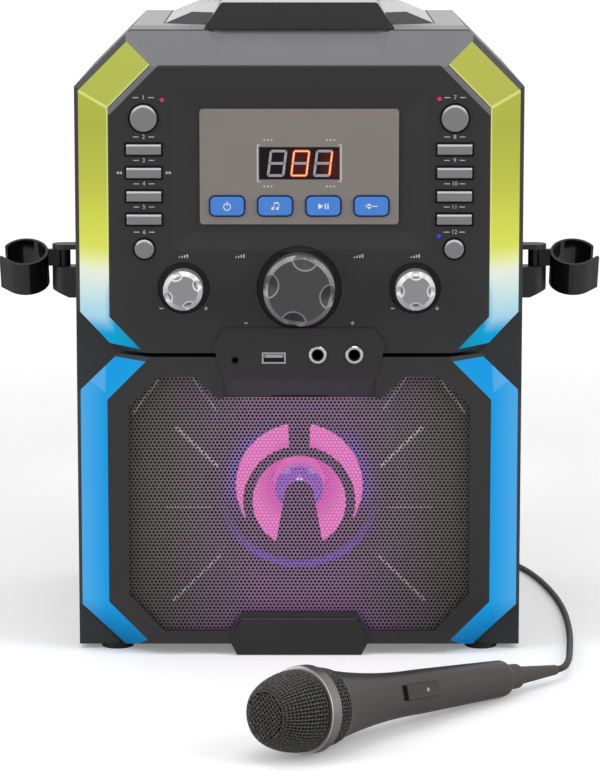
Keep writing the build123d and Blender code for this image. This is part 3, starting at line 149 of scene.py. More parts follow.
class Studio(bpy.types.PropertyGroup):
    distance: FloatProperty(name="Camera distance", description="Camera in front of the cabinet's middle",
                            default=2.11375, unit="LENGTH")
    height: FloatProperty(name="Camera height", description="Camera above the floor", default=0.49769,
                          unit="LENGTH")
    aside: FloatProperty(name="Camera aside", description="Camera right of the middle", default=0.00045,
                         unit="LENGTH")
    pitch: FloatProperty(name="Pitch", description="Camera's tilt down", default=radians(9.4115),
                         subtype="ANGLE")
    lens: FloatProperty(name="Lens", description="Focal length in millimetres on a 36 mm side",
                        default=156.83)
    ambient: FloatProperty(name="Ambient", description="World light on matt surfaces", default=0.34, min=0.0)
    floor: colour("Floor", "Pale floor", 240, 240, 241)


class KaraokeMachine(bpy.types.PropertyGroup):
    casing: PointerProperty(type=CasingFinish)
    lights: PointerProperty(type=LightFinish)
    guard: PointerProperty(type=GuardMesh)
    microphone: PointerProperty(type=MicrophoneLook)
    cord: PointerProperty(type=CordLook)
    studio: PointerProperty(type=Studio)


def settings():
    return bpy.context.scene.karaoke_machine


# ---------------------------------------------------------------- places on the machine, in millimetres

painted_shade_from_y = -116.5           # behind this the panel's holes and dishes are painted black as shade
recess = (77.5, 296.4, 48.5)    # half width, middle height and half height of the display's recess
flange = 2.0              # hidden rim behind the panel, round each button
corner_line = 445.1       # |x| + z along the painted highlight line at the panel's upper corners
bevel_half = 90.6         # half width of the bevel's painted light at its foot
bevel_corner = 103.8      # and at its top
bevel_seam = (-100.6, 378.0)    # Y of the thin dark line along its top, and the height it starts above
lip = (46.0, 165.0)       # half width and height of the lip that takes up the loudspeaker's light
inner_edge = 113.5        # inner edge of the upper light bars
mitre_z = 333.6           # where their inner edge turns
speaker_z = 104.0
dome_z, dome_r = 99.4, 14.5     # where the violet light in the dome shows
lit_bars_x = (1.0, 19.0)  # lit bars of the display, where its window glows
jack_bore = 3.75

mic_band_r, mic_band_half = 24.25, 3.8
mic_tail, mic_tail_r = 169.2, 10.7
mic_tilt = atan((mic_band_r - mic_tail_r) / (mic_tail - mic_band_half))
mic_heading = radians(46.7)
mic_axis = Vector((cos(mic_heading) * cos(mic_tilt), sin(mic_heading) * cos(mic_tilt), -sin(mic_tilt)))
mic_start = Vector((3.0, -338.1, mic_band_r * cos(mic_tilt) + mic_band_half * sin(mic_tilt)))
mic_upright = (Vector((0, 0, 1)) - mic_axis * mic_axis.z).normalized()
mic_sideways = mic_axis.cross(mic_upright)
switch_roll = radians(72.0)
switch_dot = (87.6, 13.6, 1.1)  # the dot's place along the axis, its distance from it, and its radius
cord_exit = mic_start + mic_axis * 217.2
cord_z = 2.05
coil_middle = Vector((66.0, 152.0, 0.0))
coil_turn_r = 22.0
coil_gap, coil_rise = 4.1, 3.9


# ---------------------------------------------------------------- shader expressions

class Signal:
    """A shader socket in arithmetic: each operator adds one Math node."""

    def __init__(self, finish, socket):
        self.finish = finish
        self.socket = socket

    def __add__(self, other):
        return self.finish.math("ADD", self, other)

    def __radd__(self, other):
        return self.finish.math("ADD", other, self)

    def __sub__(self, other):
        return self.finish.math("SUBTRACT", self, other)

    def __rsub__(self, other):
        return self.finish.math("SUBTRACT", other, self)

    def __mul__(self, other):
        return self.finish.math("MULTIPLY", self, other)

    def __rmul__(self, other):
        return self.finish.math("MULTIPLY", other, self)

    def __truediv__(self, other):
        return self.finish.math("DIVIDE", self, other)

    def __rtruediv__(self, other):
        return self.finish.math("DIVIDE", other, self)

    def __pow__(self, other):
        return self.finish.math("POWER", self, other)

    def __abs__(self):
        return self.finish.math("ABSOLUTE", self)

    def __lt__(self, other):
        return self.finish.math("LESS_THAN", self, other)

    def __gt__(self, other):
        return self.finish.math("GREATER_THAN", self, other)


class Tree:
    """A node tree being made, for a material or the world."""

    def __init__(self, tree):
        self.tree = tree

    def add(self, kind, choices=None, inputs=None):
        """Adds a node: its choices are set first, then its sockets get values or links."""
        node = self.tree.nodes.new(kind)
        for key, value in (choices or {}).items():
            if key == "stops":
                self.set_stops(node.color_ramp, value)
            else:
                setattr(node, key, value)
        for key, value in (inputs or {}).items():
            self.feed(node.inputs[key], value)
        return node

    def set_stops(self, ramp, stops):
        """Gives a colour ramp its stops, each a place and a colour."""
        while len(ramp.elements) < len(stops):
            ramp.elements.new(1.0)
        for element, (place, tint) in zip(ramp.elements, stops):
            element.position = place
            element.color = (*tint, 1.0)

    def feed(self, socket, value):
        if isinstance(value, Signal):
            self.tree.links.new(value.socket, socket)
        elif hasattr(value, "__len__") and len(socket.default_value) == 4 and len(value) == 3:
            socket.default_value = (*value, 1.0)
        else:
            socket.default_value = value

    def math(self, operation, *values):
        node = self.add("ShaderNodeMath", {"operation": operation}, dict(enumerate(values)))
        return Signal(self, node.outputs[0])

    def mix(self, factor, first, second):
        """Colour between two colours."""
        node = self.add("ShaderNodeMix", {"data_type": "RGBA"}, {0: factor, 6: first, 7: second})
        return Signal(self, node.outputs[2])

    def cloudy(self, cloud, tint, spread):
        """Colour that wanders with a cloud, a share darker and lighter than the tint."""
        return self.mix(cloud, scaled(tint, 1 - spread), scaled(tint, 1 + spread))

    def ramp(self, factor, stops):
        """Colour from stops along a factor."""
        node = self.add("ShaderNodeValToRGB", {"stops": stops}, {"Fac": factor})
        return Signal(self, node.outputs["Color"])

    def span(self, value, low, high):
        """Share from 0 to 1 as a value goes from low to high."""
        node = self.add("ShaderNodeMapRange", {"clamp": True},
                        {"Value": value, "From Min": low, "From Max": high})
        return Signal(self, node.outputs["Result"])

    def place(self):
        """The point on the object, as a vector in metres."""
        return Signal(self, self.add("ShaderNodeTexCoord").outputs["Object"])

    def axes(self):
        """The point on the object, as X, Y and Z in millimetres."""
        node = self.add("ShaderNodeSeparateXYZ", None, {0: self.place()})
        return [Signal(self, out) * (1 / MM) for out in node.outputs]

    def radius(self, x, z):
        """Distance from the line through x and z, in millimetres."""
        here_x, _, here_z = self.axes()
        return self.math("SQRT", (here_x - x) ** 2 + (here_z - z) ** 2)

    def noise(self, scale, detail=2.0, vector=None, roughness=0.5):
        """Cloudy pattern from 0 to 1; scale counts clouds in a metre."""
        node = self.add("ShaderNodeTexNoise", None, {"Vector": vector or self.place(), "Scale": scale,
                                                     "Detail": detail, "Roughness": roughness})
        return Signal(self, node.outputs["Fac"])

    def stretch(self, x, y, z):
        """The point on the object with each axis stretched, for brushed patterns."""
        node = self.add("ShaderNodeMapping", None, {"Vector": self.place(), "Scale": (x, y, z)})
        return Signal(self, node.outputs["Vector"])

    def least(self, *values):
        """Smallest of several values."""
        smallest = values[0]
        for value in values[1:]:
            smallest = self.math("MINIMUM", smallest, value)
        return smallest

    def most(self, *values):
        """Largest of several values."""
        largest = values[0]
        for value in values[1:]:
            largest = self.math("MAXIMUM", largest, value)
        return largest

    def near(self, value, middle, reach, fade):
        """1 where a value is within reach of a middle, falling to 0 over the fade."""
        return 1 - self.span(abs(value - middle), reach, reach + fade)


class Finish(Tree):
    """A material being made: its nodes, its patterns and its shader."""

    def __init__(self, name):
        self.material = bpy.data.materials.new(name)
        self.material.use_nodes = True
        super().__init__(self.material.node_tree)
        self.shader = self.tree.nodes["Principled BSDF"]

    def bump(self, height, depth, strength=0.4):
        """Raised pattern on the surface; depth in millimetres."""
        node = self.add("ShaderNodeBump", None,
                        {"Height": height, "Distance": depth * MM, "Strength": strength})
        self.feed(self.shader.inputs["Normal"], Signal(self, node.outputs["Normal"]))

    def grain(self):
        """Fine spark-eroded grain of moulded plastic."""
        self.bump(self.noise(2600.0, 1.0), 0.03)

    def sparkling(self, tint):
        """Fine sparkle of metallic paint, as a noise, a colour and a bump."""
        sparkle = self.noise(5200.0, 1.0)
        self.bump(sparkle, 0.01, 0.3)
        return sparkle, self.cloudy(self.span(sparkle, 0.35, 0.7), tint, 0.15)

    def set(self, **values):
        """Sets the shader's sockets; base_color stands for Base Color."""
        for key, value in values.items():
            self.feed(self.shader.inputs[key.replace("_", " ").title().replace("Ior", "IOR")], value)


# ---------------------------------------------------------------- finishes

def moulded(name, tint, rough=0.46, mottle=0.12):
    """Moulded plastic with a fine grain and faint unevenness."""
    made = Finish(name)
    cloud = made.noise(35.0, 3.0)
    made.set(base_color=made.cloudy(cloud, tint, mottle), roughness=rough - 0.05 + 0.1 * cloud,
             specular_ior_level=0.3)
    made.grain()
    return made.material


def polished(name, tint):
    """Polished plastic with a slow waviness and faint dust."""
    made = Finish(name)
    dust = made.span(made.noise(900.0, 2.0), 0.62, 0.8)
    made.set(base_color=made.mix(dust * 0.15, tuple(tint), scaled(tint, 2.2)),
             roughness=0.1 + 0.06 * made.noise(14.0, 2.0), specular_ior_level=0.4)
    made.bump(made.noise(22.0, 1.0), 0.15, 0.12)
    return made.material


def cabinet_black(name, painted_light_from, painted_top_light, flare=0.0):
    """Cabinet plastic with painted light: satin grey above a height, in a flaring outline, for the light on
    its top faces, painted highlight lines at its upper corners and violet painted light on the lip.
    """
    made = Finish(name)
    x, y, z = made.axes()
    out = abs(x)
    cloud = made.noise(35.0, 3.0)
    black = made.cloudy(cloud, settings().casing.casing, 0.12)
    # painted light: satin grey on the upward faces above this height
    top = made.span(z, painted_light_from, painted_light_from + 0.3)
    if flare:
        top = top * (out - flare * (z - painted_light_from) < bevel_half) * (out < bevel_corner)
    seam_y, seam_from = bevel_seam
    seam = made.near(y, seam_y, 0.45, 0.2) * (z > seam_from)
    # painted highlight: a thin line along the panel's upper corners, in the bevel's grey
    line = made.near(out + z, corner_line, 2.0, 0.3) * (z > 330.0) * (y < -116.0)
    lip_half, lip_z = lip
    # painted light: violet from the loudspeaker falling on the lip
    glow = made.near(out, 0.0, lip_half, 0.5) * made.near(z, lip_z, 7.0, 2.0) * (y < -90.0)
    tinted = made.mix(glow * 0.5, black, shade(60, 50, 64))
    grey = made.mix(made.most(top, line), tinted, tuple(painted_top_light))
    made.set(base_color=made.mix(seam, grey, shade(24, 24, 25)), roughness=0.36 + 0.1 * cloud,
             specular_ior_level=0.35)
    made.grain()
    return made.material


def panel_plastic():
    """Fine matt plastic, with painted shade: black in the holes and dishes round the controls."""
    made = Finish("panel_plastic")
    x, y, z = made.axes()
    half, middle, half_height = recess
    sunk = made.near(abs(x), 0.0, half, 0.2) * made.near(z, middle, half_height, 0.2)
    cloud = made.noise(35.0, 3.0)
    face = made.cloudy(cloud, settings().casing.panel, 0.12)
    # painted shade: black deep in the holes and dishes, not in the display's recess
    made.set(base_color=made.mix((y > painted_shade_from_y) * (1 - sunk), face, shade(5, 5, 5)),
             roughness=0.45 + 0.1 * cloud, specular_ior_level=0.3)
    made.grain()
    return made.material


def button_paint(node):
    """Silver paint with a painted highlight on its upper edge, and painted shade: black sides down in the
    panel.
    """
    made = Finish(f"{node}_paint")
    x, z, front, half = face_of(node)
    low, high = box_of(node)
    is_round = high.x - low.x < 2.2 * half
    half -= flange
    _, here_y, here_z = made.axes()
    up = here_z - z
    # painted highlight along the button's upper edge
    edge = made.near(up, half - 0.7, 0.35, 0.35)
    if is_round:
        edge = made.near(made.radius(x, z), half - 0.8, 0.4, 0.4) * made.span(up, 0.3 * half, 0.75 * half)
    sparkle, face = made.sparkling(settings().casing.silver)
    lit_edge = made.mix(edge * 0.8, face, shade(215, 215, 216))
    # painted shade: black on the sides down in the gap round the button
    painted_shade_sides = here_y > front + 0.9
    made.set(base_color=made.mix(painted_shade_sides, lit_edge, shade(6, 6, 6)), metallic=0.35 * (1 - painted_shade_sides),
             roughness=0.36 + 0.08 * sparkle, specular_ior_level=0.5)
    return made.material


def metallic_paint(name, tint, metallic):
    """Metallic paint with a fine sparkle."""
    made = Finish(name)
    sparkle, face = made.sparkling(tint)
    made.set(base_color=face, metallic=metallic, roughness=0.36 + 0.08 * sparkle, specular_ior_level=0.5)
    return made.material


def spun_metal(node, tint, turn):
    """Turned metal cap: fine rings, a lighter rim, painted highlights on the edges round its thumb scoops and
    painted shade in the scoops.
    """
    made = Finish(f"{node}_metal")
    x, z, _, radius = face_of(node)
    here_x, _, here_z = made.axes()
    r = made.radius(x, z)
    spread = made.add("ShaderNodeCombineXYZ", None, {0: r * 0.06})
    rings = made.noise(60.0, 4.0, Signal(made, spread.outputs[0]), 0.7)
    rim = made.span(r, radius - 2.9, radius - 2.5)
    angle = made.math("ARCTAN2", here_z - z, here_x - x) - turn
    fold = made.math("PINGPONG", angle, pi / 4)
    scoop_at, scoop_r = radius * 0.955, radius * 0.365
    scoop = made.math("SQRT", r ** 2 + scoop_at ** 2 - made.math("COSINE", fold) * r * (2 * scoop_at))
    # painted highlight on the edge round each thumb scoop
    edge = made.near(scoop, scoop_r, 0.25, 0.35) * (r < radius - 2.0)
    # painted shade inside the thumb scoops
    scoop_shade = (scoop < scoop_r) * (r < radius - 2.9)
    # lighter metal for the rim, and the painted highlight for the scoop edges
    bright = tuple(min(1.0, c * 2.0 + 0.12) for c in tint)
    face = made.mix(scoop_shade * 0.3, made.cloudy(rings, tint, 0.15), (0, 0, 0))
    made.set(base_color=made.mix(made.most(rim * 0.8, edge), face, bright), metallic=0.6,
             roughness=0.42 - 0.14 * rim + 0.08 * rings)
    made.bump(rings, 0.02, 0.4)
    return made.material


def bare_metal(name, tint, rough=0.3, metallic=1.0):
    """Bare or plated metal with fine handling marks."""
    made = Finish(name)
    marks = made.noise(900.0, 3.0, made.stretch(1.0, 0.25, 1.0))
    made.set(base_color=made.mix(marks, scaled(tint, 0.88), scaled(tint, 1.08)), metallic=metallic,
             roughness=rough + 0.1 * marks)
    made.bump(marks, 0.01, 0.25)
    return made.material


def tinted_window():
    """Black tinted display window, glowing dark red round the lit bars."""
    made = Finish("tinted_window")
    x, _, z = made.axes()
    smear = made.noise(60.0, 2.0)
    from_bars = made.least(*(abs(x - bar) for bar in lit_bars_x))
    glow = (1 - made.span(from_bars, 3.5, 8.0)) * (1 - made.span(abs(z - window_middle()), 6.5, 9.6))
    made.set(base_color=made.mix(smear, shade(6, 3, 6), shade(12, 8, 12)), roughness=0.12 + 0.05 * smear,
             specular_ior_level=0.3, emission_color=made.mix(glow, (0, 0, 0), shade(64, 4, 10)),
             emission_strength=1.0)
    return made.material


def window_middle():
    """Height of the display window's middle, in millimetres."""
    return face_of("display_window")[1]


def glowing(name, glow, strength, shine=0.1, rough=0.4):
    """Diffusing plastic lit from behind, from a pattern of colour."""
    made = Finish(name)
    made.set(emission_color=glow(made), emission_strength=strength, roughness=rough, base_color=(0, 0, 0),
             specular_ior_level=shine)
    made.bump(made.noise(1800.0, 1.0), 0.02, 0.2)
    return made.material


def band_metal():
    """Satin metal band with a painted highlight along its front edge."""
    made = Finish("band_metal")
    tint = settings().microphone.band
    x, y, z = made.axes()
    along = x * mic_axis.x + y * mic_axis.y + z * mic_axis.z - mic_start.dot(mic_axis)
    # painted highlight along the band's front edge
    edge = made.near(along, -mic_band_half, 0.5, 0.3)
    marks = made.noise(900.0, 3.0)
    face = made.mix(marks, scaled(tint, 0.88), scaled(tint, 1.08))
    made.set(base_color=made.mix(edge, face, shade(196, 195, 192)), metallic=1.0,
             roughness=0.34 + 0.1 * marks)
    made.bump(marks, 0.01, 0.25)
    return made.material


def switch_plastic():
    """Dark plastic with a pale dot."""
    made = Finish("switch_plastic")
    x, y, z = made.axes()
    along, out, dot_r = switch_dot
    outward = mic_upright * cos(switch_roll) + mic_sideways * sin(switch_roll)
    dot = mic_start + mic_axis * along + outward * out
    off = made.math("SQRT", (x - dot.x) ** 2 + (y - dot.y) ** 2 + (z - dot.z) ** 2)
    cloud = made.noise(35.0, 3.0)
    dark = made.mix(cloud, shade(46, 44, 43), shade(56, 54, 53))
    made.set(base_color=made.mix(off < dot_r, dark, shade(170, 169, 166)), roughness=0.41 + 0.1 * cloud,
             specular_ior_level=0.3)
    made.grain()
    return made.material


def jack_chrome():
    """Chrome rings with black bores."""
    made = Finish("jack_chrome")
    jacks = [mount["pos_m"] for mount in frame["record"]["mounts"] if mount["name"].startswith("mic_jack")]
    bore = made.least(*(made.radius(x / MM, z / MM) for x, _, z in jacks)) < jack_bore
    marks = made.noise(900.0, 3.0)
    made.set(base_color=made.mix(bore, shade(215, 215, 218), shade(5, 5, 5)), metallic=1 - bore,
             roughness=0.12 + 0.06 * marks + 0.5 * bore)
    made.bump(marks, 0.01, 0.2)
    return made.material


def rubbery(name, tint, rough=0.7):
    """Matt rubber with a soft mottled bloom."""
    made = Finish(name)
    bloom = made.noise(260.0, 3.0)
    made.set(base_color=made.mix(bloom, scaled(tint, 0.8), scaled(tint, 1.3)),
             roughness=rough + 0.12 * bloom, specular_ior_level=0.35)
    made.bump(made.noise(3200.0, 1.0), 0.03, 0.3)
    return made.material


def board_green():
    """Solder mask with copper lines showing through."""
    made = Finish("board_green")
    x, _, _ = made.axes()
    line = made.math("FRACT", x / 3.1) < 0.2
    made.set(base_color=made.mix(line * 0.5, shade(12, 60, 30), shade(40, 110, 60)), roughness=0.35,
             specular_ior_level=0.5)
    made.bump(line * made.span(made.noise(40.0), 0.4, 0.6), 0.03, 0.4)
    return made.material


def dress(node, material):
    """Gives a CAD node its finish."""
    slots = frame["nodes"][node].data.materials
    slots.clear()
    slots.append(material)


def add_piece(name, shape, material, body=MACHINE, smooth=False):
    """Makes an object from a bmesh: linked, finished, riding on its body."""
    data = bpy.data.meshes.new(name)
    shape.to_mesh(data)
    shape.free()
    if smooth:
        data.shade_smooth()
    made = bpy.data.objects.new(name, data)
    bpy.context.scene.collection.objects.link(made)
    data.materials.append(material)
    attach(made, body)
    return made


# ---------------------------------------------------------------- stage

class KARAOKE_OT_stage(bpy.types.Operator):
    """Floor, background, lamps and camera"""
    bl_idname = "karaoke.stage"
    bl_label = "Stage"

    floor_reach = 30.0
    white_out = (500.0, 1100.0)       # distances between which the floor turns white, in millimetres
    near_glow = 0.22                  # share of white that the floor has close by, as looked at
    lamps = (("softbox_left", (-1.15, -0.75, 0.75), (0.5, 1.3), 10.0),
             ("softbox_right", (1.15, -0.75, 0.75), (0.5, 1.3), 10.0),
             ("softbox_top", (0.0, -0.2, 1.9), (1.6, 1.6), 14.0))
    aim = (0.0, 0.0, 0.2)

    def execute(self, context):
        scene = context.scene
        scene.view_settings.view_transform = "Standard"
        self.add_camera(scene)
        self.add_floor(scene)
        self.add_world(scene)
        self.add_lamps(scene)
        return {"FINISHED"}

    def add_camera(self, scene):
        look = settings().studio
        eye = bpy.data.cameras.new("camera")
        eye.sensor_width = 36.0
        eye.lens = look.lens
        eye.clip_end = 50.0
        camera = bpy.data.objects.new("camera", eye)
        camera.location = (look.aside, -look.distance, look.height)
        camera.rotation_euler = (pi / 2 - look.pitch, 0.0, 0.0)
        scene.collection.objects.link(camera)
        scene.camera = camera

    def add_floor(self, scene):
        """Pale floor that keeps the shadows and runs out into white."""
        ground = bmesh.new()
        bmesh.ops.create_grid(ground, x_segments=1, y_segments=1, size=self.floor_reach)
        data = bpy.data.meshes.new("floor")
        ground.to_mesh(data)
        ground.free()
        floor = bpy.data.objects.new("floor", data)
        scene.collection.objects.link(floor)
        made = Finish("floor")
        x, y, _ = made.axes()
        cloud = made.noise(3.0, 2.0)
        tint = tuple(settings().studio.floor)
        far = made.span(made.math("SQRT", x ** 2 + (y - 100.0) ** 2), *self.white_out)
        looked_at = Signal(made, made.add("ShaderNodeLightPath").outputs["Is Camera Ray"])
        pale = made.mix(cloud, tint, scaled(tint, 1.02))
        glow = looked_at * (self.near_glow + (1 - self.near_glow) * far)
        made.set(base_color=made.mix(looked_at * far, pale, (0, 0, 0)), roughness=0.6, specular_ior_level=0.1,
                 emission_color=made.mix(glow, (0, 0, 0), (1, 1, 1)), emission_strength=1.0)
        data.materials.append(made.material)

    def add_world(self, scene):
        """White where it is looked at or mirrored, a lower level where it lights matt surfaces."""
        world = bpy.data.worlds.new("studio")
        world.use_nodes = True
        scene.world = world
        sky = Tree(world.node_tree)
        rays = sky.add("ShaderNodeLightPath").outputs
        labels = ("Is Camera Ray", "Is Glossy Ray", "Is Transmission Ray")
        seen = sky.most(*(Signal(sky, rays[label]) for label in labels))
        ambient = settings().studio.ambient
        background = sky.tree.nodes["Background"]
        sky.feed(background.inputs["Color"], (1.0, 1.0, 1.0))
        sky.feed(background.inputs["Strength"], ambient + (1 - ambient) * seen)

    def add_lamps(self, scene):
        """Two tall soft boxes at the sides and a large one overhead."""
        for name, place, size, power in self.lamps:
            lamp = bpy.data.lights.new(name, "AREA")
            lamp.shape = "RECTANGLE"
            lamp.size, lamp.size_y = size
            lamp.energy = power
            holder = bpy.data.objects.new(name, lamp)
            holder.location = place
            towards = Vector(self.aim) - Vector(place)
            holder.rotation_euler = towards.to_track_quat("-Z", "Y").to_euler()
            scene.collection.objects.link(holder)


# ---------------------------------------------------------------- microphone cord

def route_points():
    """Free run of the cord from the microphone to the stored coil, in millimetres."""
    return [
        tuple(cord_exit), tuple(cord_exit + mic_axis * 8.0), (161.0, -158.0, 6.2), (163.4, -137.0, 4.3),
        (165.6, -111.0, 2.7), (168.2, -82.0, cord_z), (169.8, -50.0, cord_z), (170.2, -16.0, cord_z),
        (168.8, 18.0, cord_z), (165.4, 51.0, cord_z), (160.6, 82.0, cord_z), (154.0, 111.0, cord_z),
        (143.5, 137.0, cord_z), (126.0, 158.0, cord_z), (104.0, 170.0, 2.6), (84.0, 174.0, 4.0),
        (70.0, 174.2, 5.2)]


def coil_points(turns):
    """Neat stored coil: its turns lie a diameter apart, in and out and upwards, and lead to the plug."""
    steps = 14
    rings = [(-1, 0), (0, 0), (1, 0), (1, 1), (0, 1), (-1, 1), (-1, 2), (0, 2), (1, 2), (0, 3)]
    points = []
    for turn in range(turns):
        across, up = rings[turn % len(rings)]
        ahead = rings[(turn + 1) % len(rings)] if turn + 1 < turns else (across, up)
        for step in range(steps):
            share = step / steps
            late = max(0.0, (share - 0.7) / 0.3)
            radius = coil_turn_r + coil_gap * (across + (ahead[0] - across) * late)
            height = cord_z + 0.1 + coil_rise * (up + (ahead[1] - up) * late)
            angle = pi / 2 + 2 * pi * share
            points.append(tuple(coil_middle + Vector((radius * cos(angle), radius * sin(angle), height))))
    return points


class KARAOKE_OT_cord(bpy.types.Operator):
    """Microphone cord with its stored coil"""
    bl_idname = "karaoke.cord"
    bl_label = "Cord"

    def execute(self, context):
        look = settings().cord
        points = route_points() + coil_points(look.turns)
        curve = bpy.data.curves.new("microphone_cord", "CURVE")
        curve.dimensions = "3D"
        curve.resolution_u = 6
        curve.bevel_depth = look.radius
        curve.bevel_resolution = 3
        curve.use_fill_caps = True
        spline = curve.splines.new("NURBS")
        spline.points.add(len(points) - 1)
        for control, place in zip(spline.points, points):
            control.co = (*(Vector(place) * MM), 1.0)
        spline.order_u = 3
        spline.use_endpoint_u = True
        cord = bpy.data.objects.new("microphone_cord", curve)
        context.scene.collection.objects.link(cord)
        curve.materials.append(rubbery("cord_jacket", look.jacket, 0.5))
        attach(cord, MACHINE)
        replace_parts(cord, "mic_cord", "mic_cord_coil")
        bare = curve.copy()
        bare.bevel_depth = 0.0
        line = bpy.data.objects.new("line", bare)
        path = bpy.data.meshes.new_from_object(line)
        bpy.data.objects.remove(line)
        bpy.data.curves.remove(bare)
        look.radius * 2
        return {"FINISHED"}


# ---------------------------------------------------------------- finishes of the frame's own nodes

def upper_glow(made):
    """Olive, yellow-green, white, then blue down the upper light bars, with painted highlight lines on their
    edges and mitre.
    """
    x, _, z = made.axes()
    out = abs(x)
    bright = made.ramp(made.span(z, 186.0, 372.0), [
        (0.08, shade(150, 200, 235)), (0.14, shade(176, 220, 232)), (0.21, shade(212, 234, 232)),
        (0.27, shade(234, 240, 220)), (0.3, shade(234, 238, 168)), (0.344, shade(220, 226, 92)),
        (0.41, shade(212, 218, 82)), (0.56, shade(190, 196, 72)), (0.72, shade(176, 182, 70)),
        (1.0, shade(182, 188, 76))])
    tail = made.ramp(made.span(out, 92.0, 116.0), [(0.0, shade(0, 110, 125)), (0.35, shade(0, 150, 190)),
                                                   (1.0, shade(0, 165, 218))])
    inner = (1 - made.span(out, 111.0, 117.0)) * (1 - made.span(z, 222.0, 232.0))
    body = made.mix(made.most(inner, 1 - made.span(z, 197.0, 207.0)), bright, tail)
    # painted highlights along the inner edge, the slanted edge and the mitre
    upright = made.near(out, inner_edge + 0.7, 0.5, 0.4) * made.near(z, 290.0, mitre_z - 290.0, 0.5)
    slanted = made.near(out + z, inner_edge + mitre_z + 1.3, 0.7, 0.6) * (z > mitre_z)
    mitre = made.near(z - 0.5 * out, mitre_z - 0.5 * inner_edge, 0.7, 0.6)
    return made.mix(made.most(upright, slanted, mitre) * 0.65, body, shade(236, 238, 140))


def lower_glow(made):
    """Blue down the lower light bars, paler at the outer edge and dark at the bottom, with a painted
    highlight on the facet at their upper corner.
    """
    x, _, z = made.axes()
    look = settings().lights
    across = made.mix(made.span(abs(x), 117.0, 131.0), tuple(look.lower_inner), tuple(look.lower_outer))
    # painted highlight on the facet at the bars' upper corner
    facet = made.span(abs(x), 116.5, 118.0) * made.span(z - 0.55 * abs(x), 96.5, 98.0)
    corner = made.mix(facet * 0.6, across, shade(100, 178, 238))
    return made.mix(made.span(z, 6.0, 34.0), shade(0, 105, 160), corner)


def dot_glow(made):
    """Red indicators and a blue one low on the right, each with a bright core in a dark ring."""
    _, _, z = made.axes()
    r = made.least(made.radius(-81.6, 338.6), made.radius(83.4, 339.3), made.radius(83.4, 257.1))
    core = 1 - made.span(r, 0.3, 1.6)
    red = made.mix(core, shade(96, 8, 30), shade(214, 78, 112))
    return made.mix(z < 300.0, red, made.mix(core, shade(20, 34, 100), shade(62, 84, 205)))


dome_violet = shade(94, 50, 160)


def cone_glow(made):
    """Pink light on the cone, magenta towards the dome."""
    pink = tuple(settings().lights.speaker)
    r = made.radius(0.0, speaker_z)
    around = made.ramp(made.span(r, 14.0, 50.0), [(0.0, shade(170, 50, 160)), (0.22, shade(214, 96, 190)),
                                                  (0.4, pink), (0.75, pink), (1.0, shade(160, 80, 200))])
    return made.mix(made.near(made.radius(0.0, dome_z), 0.0, dome_r, 0.6), around, dome_violet)


def dome_glow(made):
    """Violet light in the dust dome, with painted highlights at both sides of its top and a bright painted
    glint.
    """
    x, _, z = made.axes()
    r = made.radius(0.0, dome_z)
    dome = made.ramp(made.span(r, 0.0, 16.0), [
        (0.0, shade(196, 84, 186)), (0.4, shade(140, 70, 182)), (1.0, dome_violet)])
    # painted highlights at both sides of the dome's top, and a painted glint below them
    shine = 1 - made.span(made.math("SQRT", (abs(x) - 8.5) ** 2 + (z - 112.7) ** 2), 0.5, 4.5)
    point = 1 - made.span(made.radius(0.0, 106.3), 1.3, 3.0)
    starred = made.mix(made.most(shine * 0.8, point), dome, shade(236, 214, 246))
    return made.mix(made.near(r, 0.0, dome_r, 0.6), shade(224, 110, 196), starred)


def ring_glow(made):
    """Violet light that shows at the ring's foot only."""
    _, _, z = made.axes()
    violet = made.mix(made.noise(60.0), shade(74, 40, 142), shade(90, 52, 160))
    return made.mix(made.span(z, 66.0, 96.0), violet, shade(34, 18, 52))


def lit(made):
    """Orange-red edge of a lit bar."""
    tint = settings().lights.digit
    return made.mix(made.noise(900.0), tuple(tint), scaled(tint, 1.25))


def lit_core(made):
    """Bright middle of a lit bar."""
    tint = settings().lights.digit_core
    return made.mix(made.noise(900.0), tuple(tint), scaled(tint, 1.1))


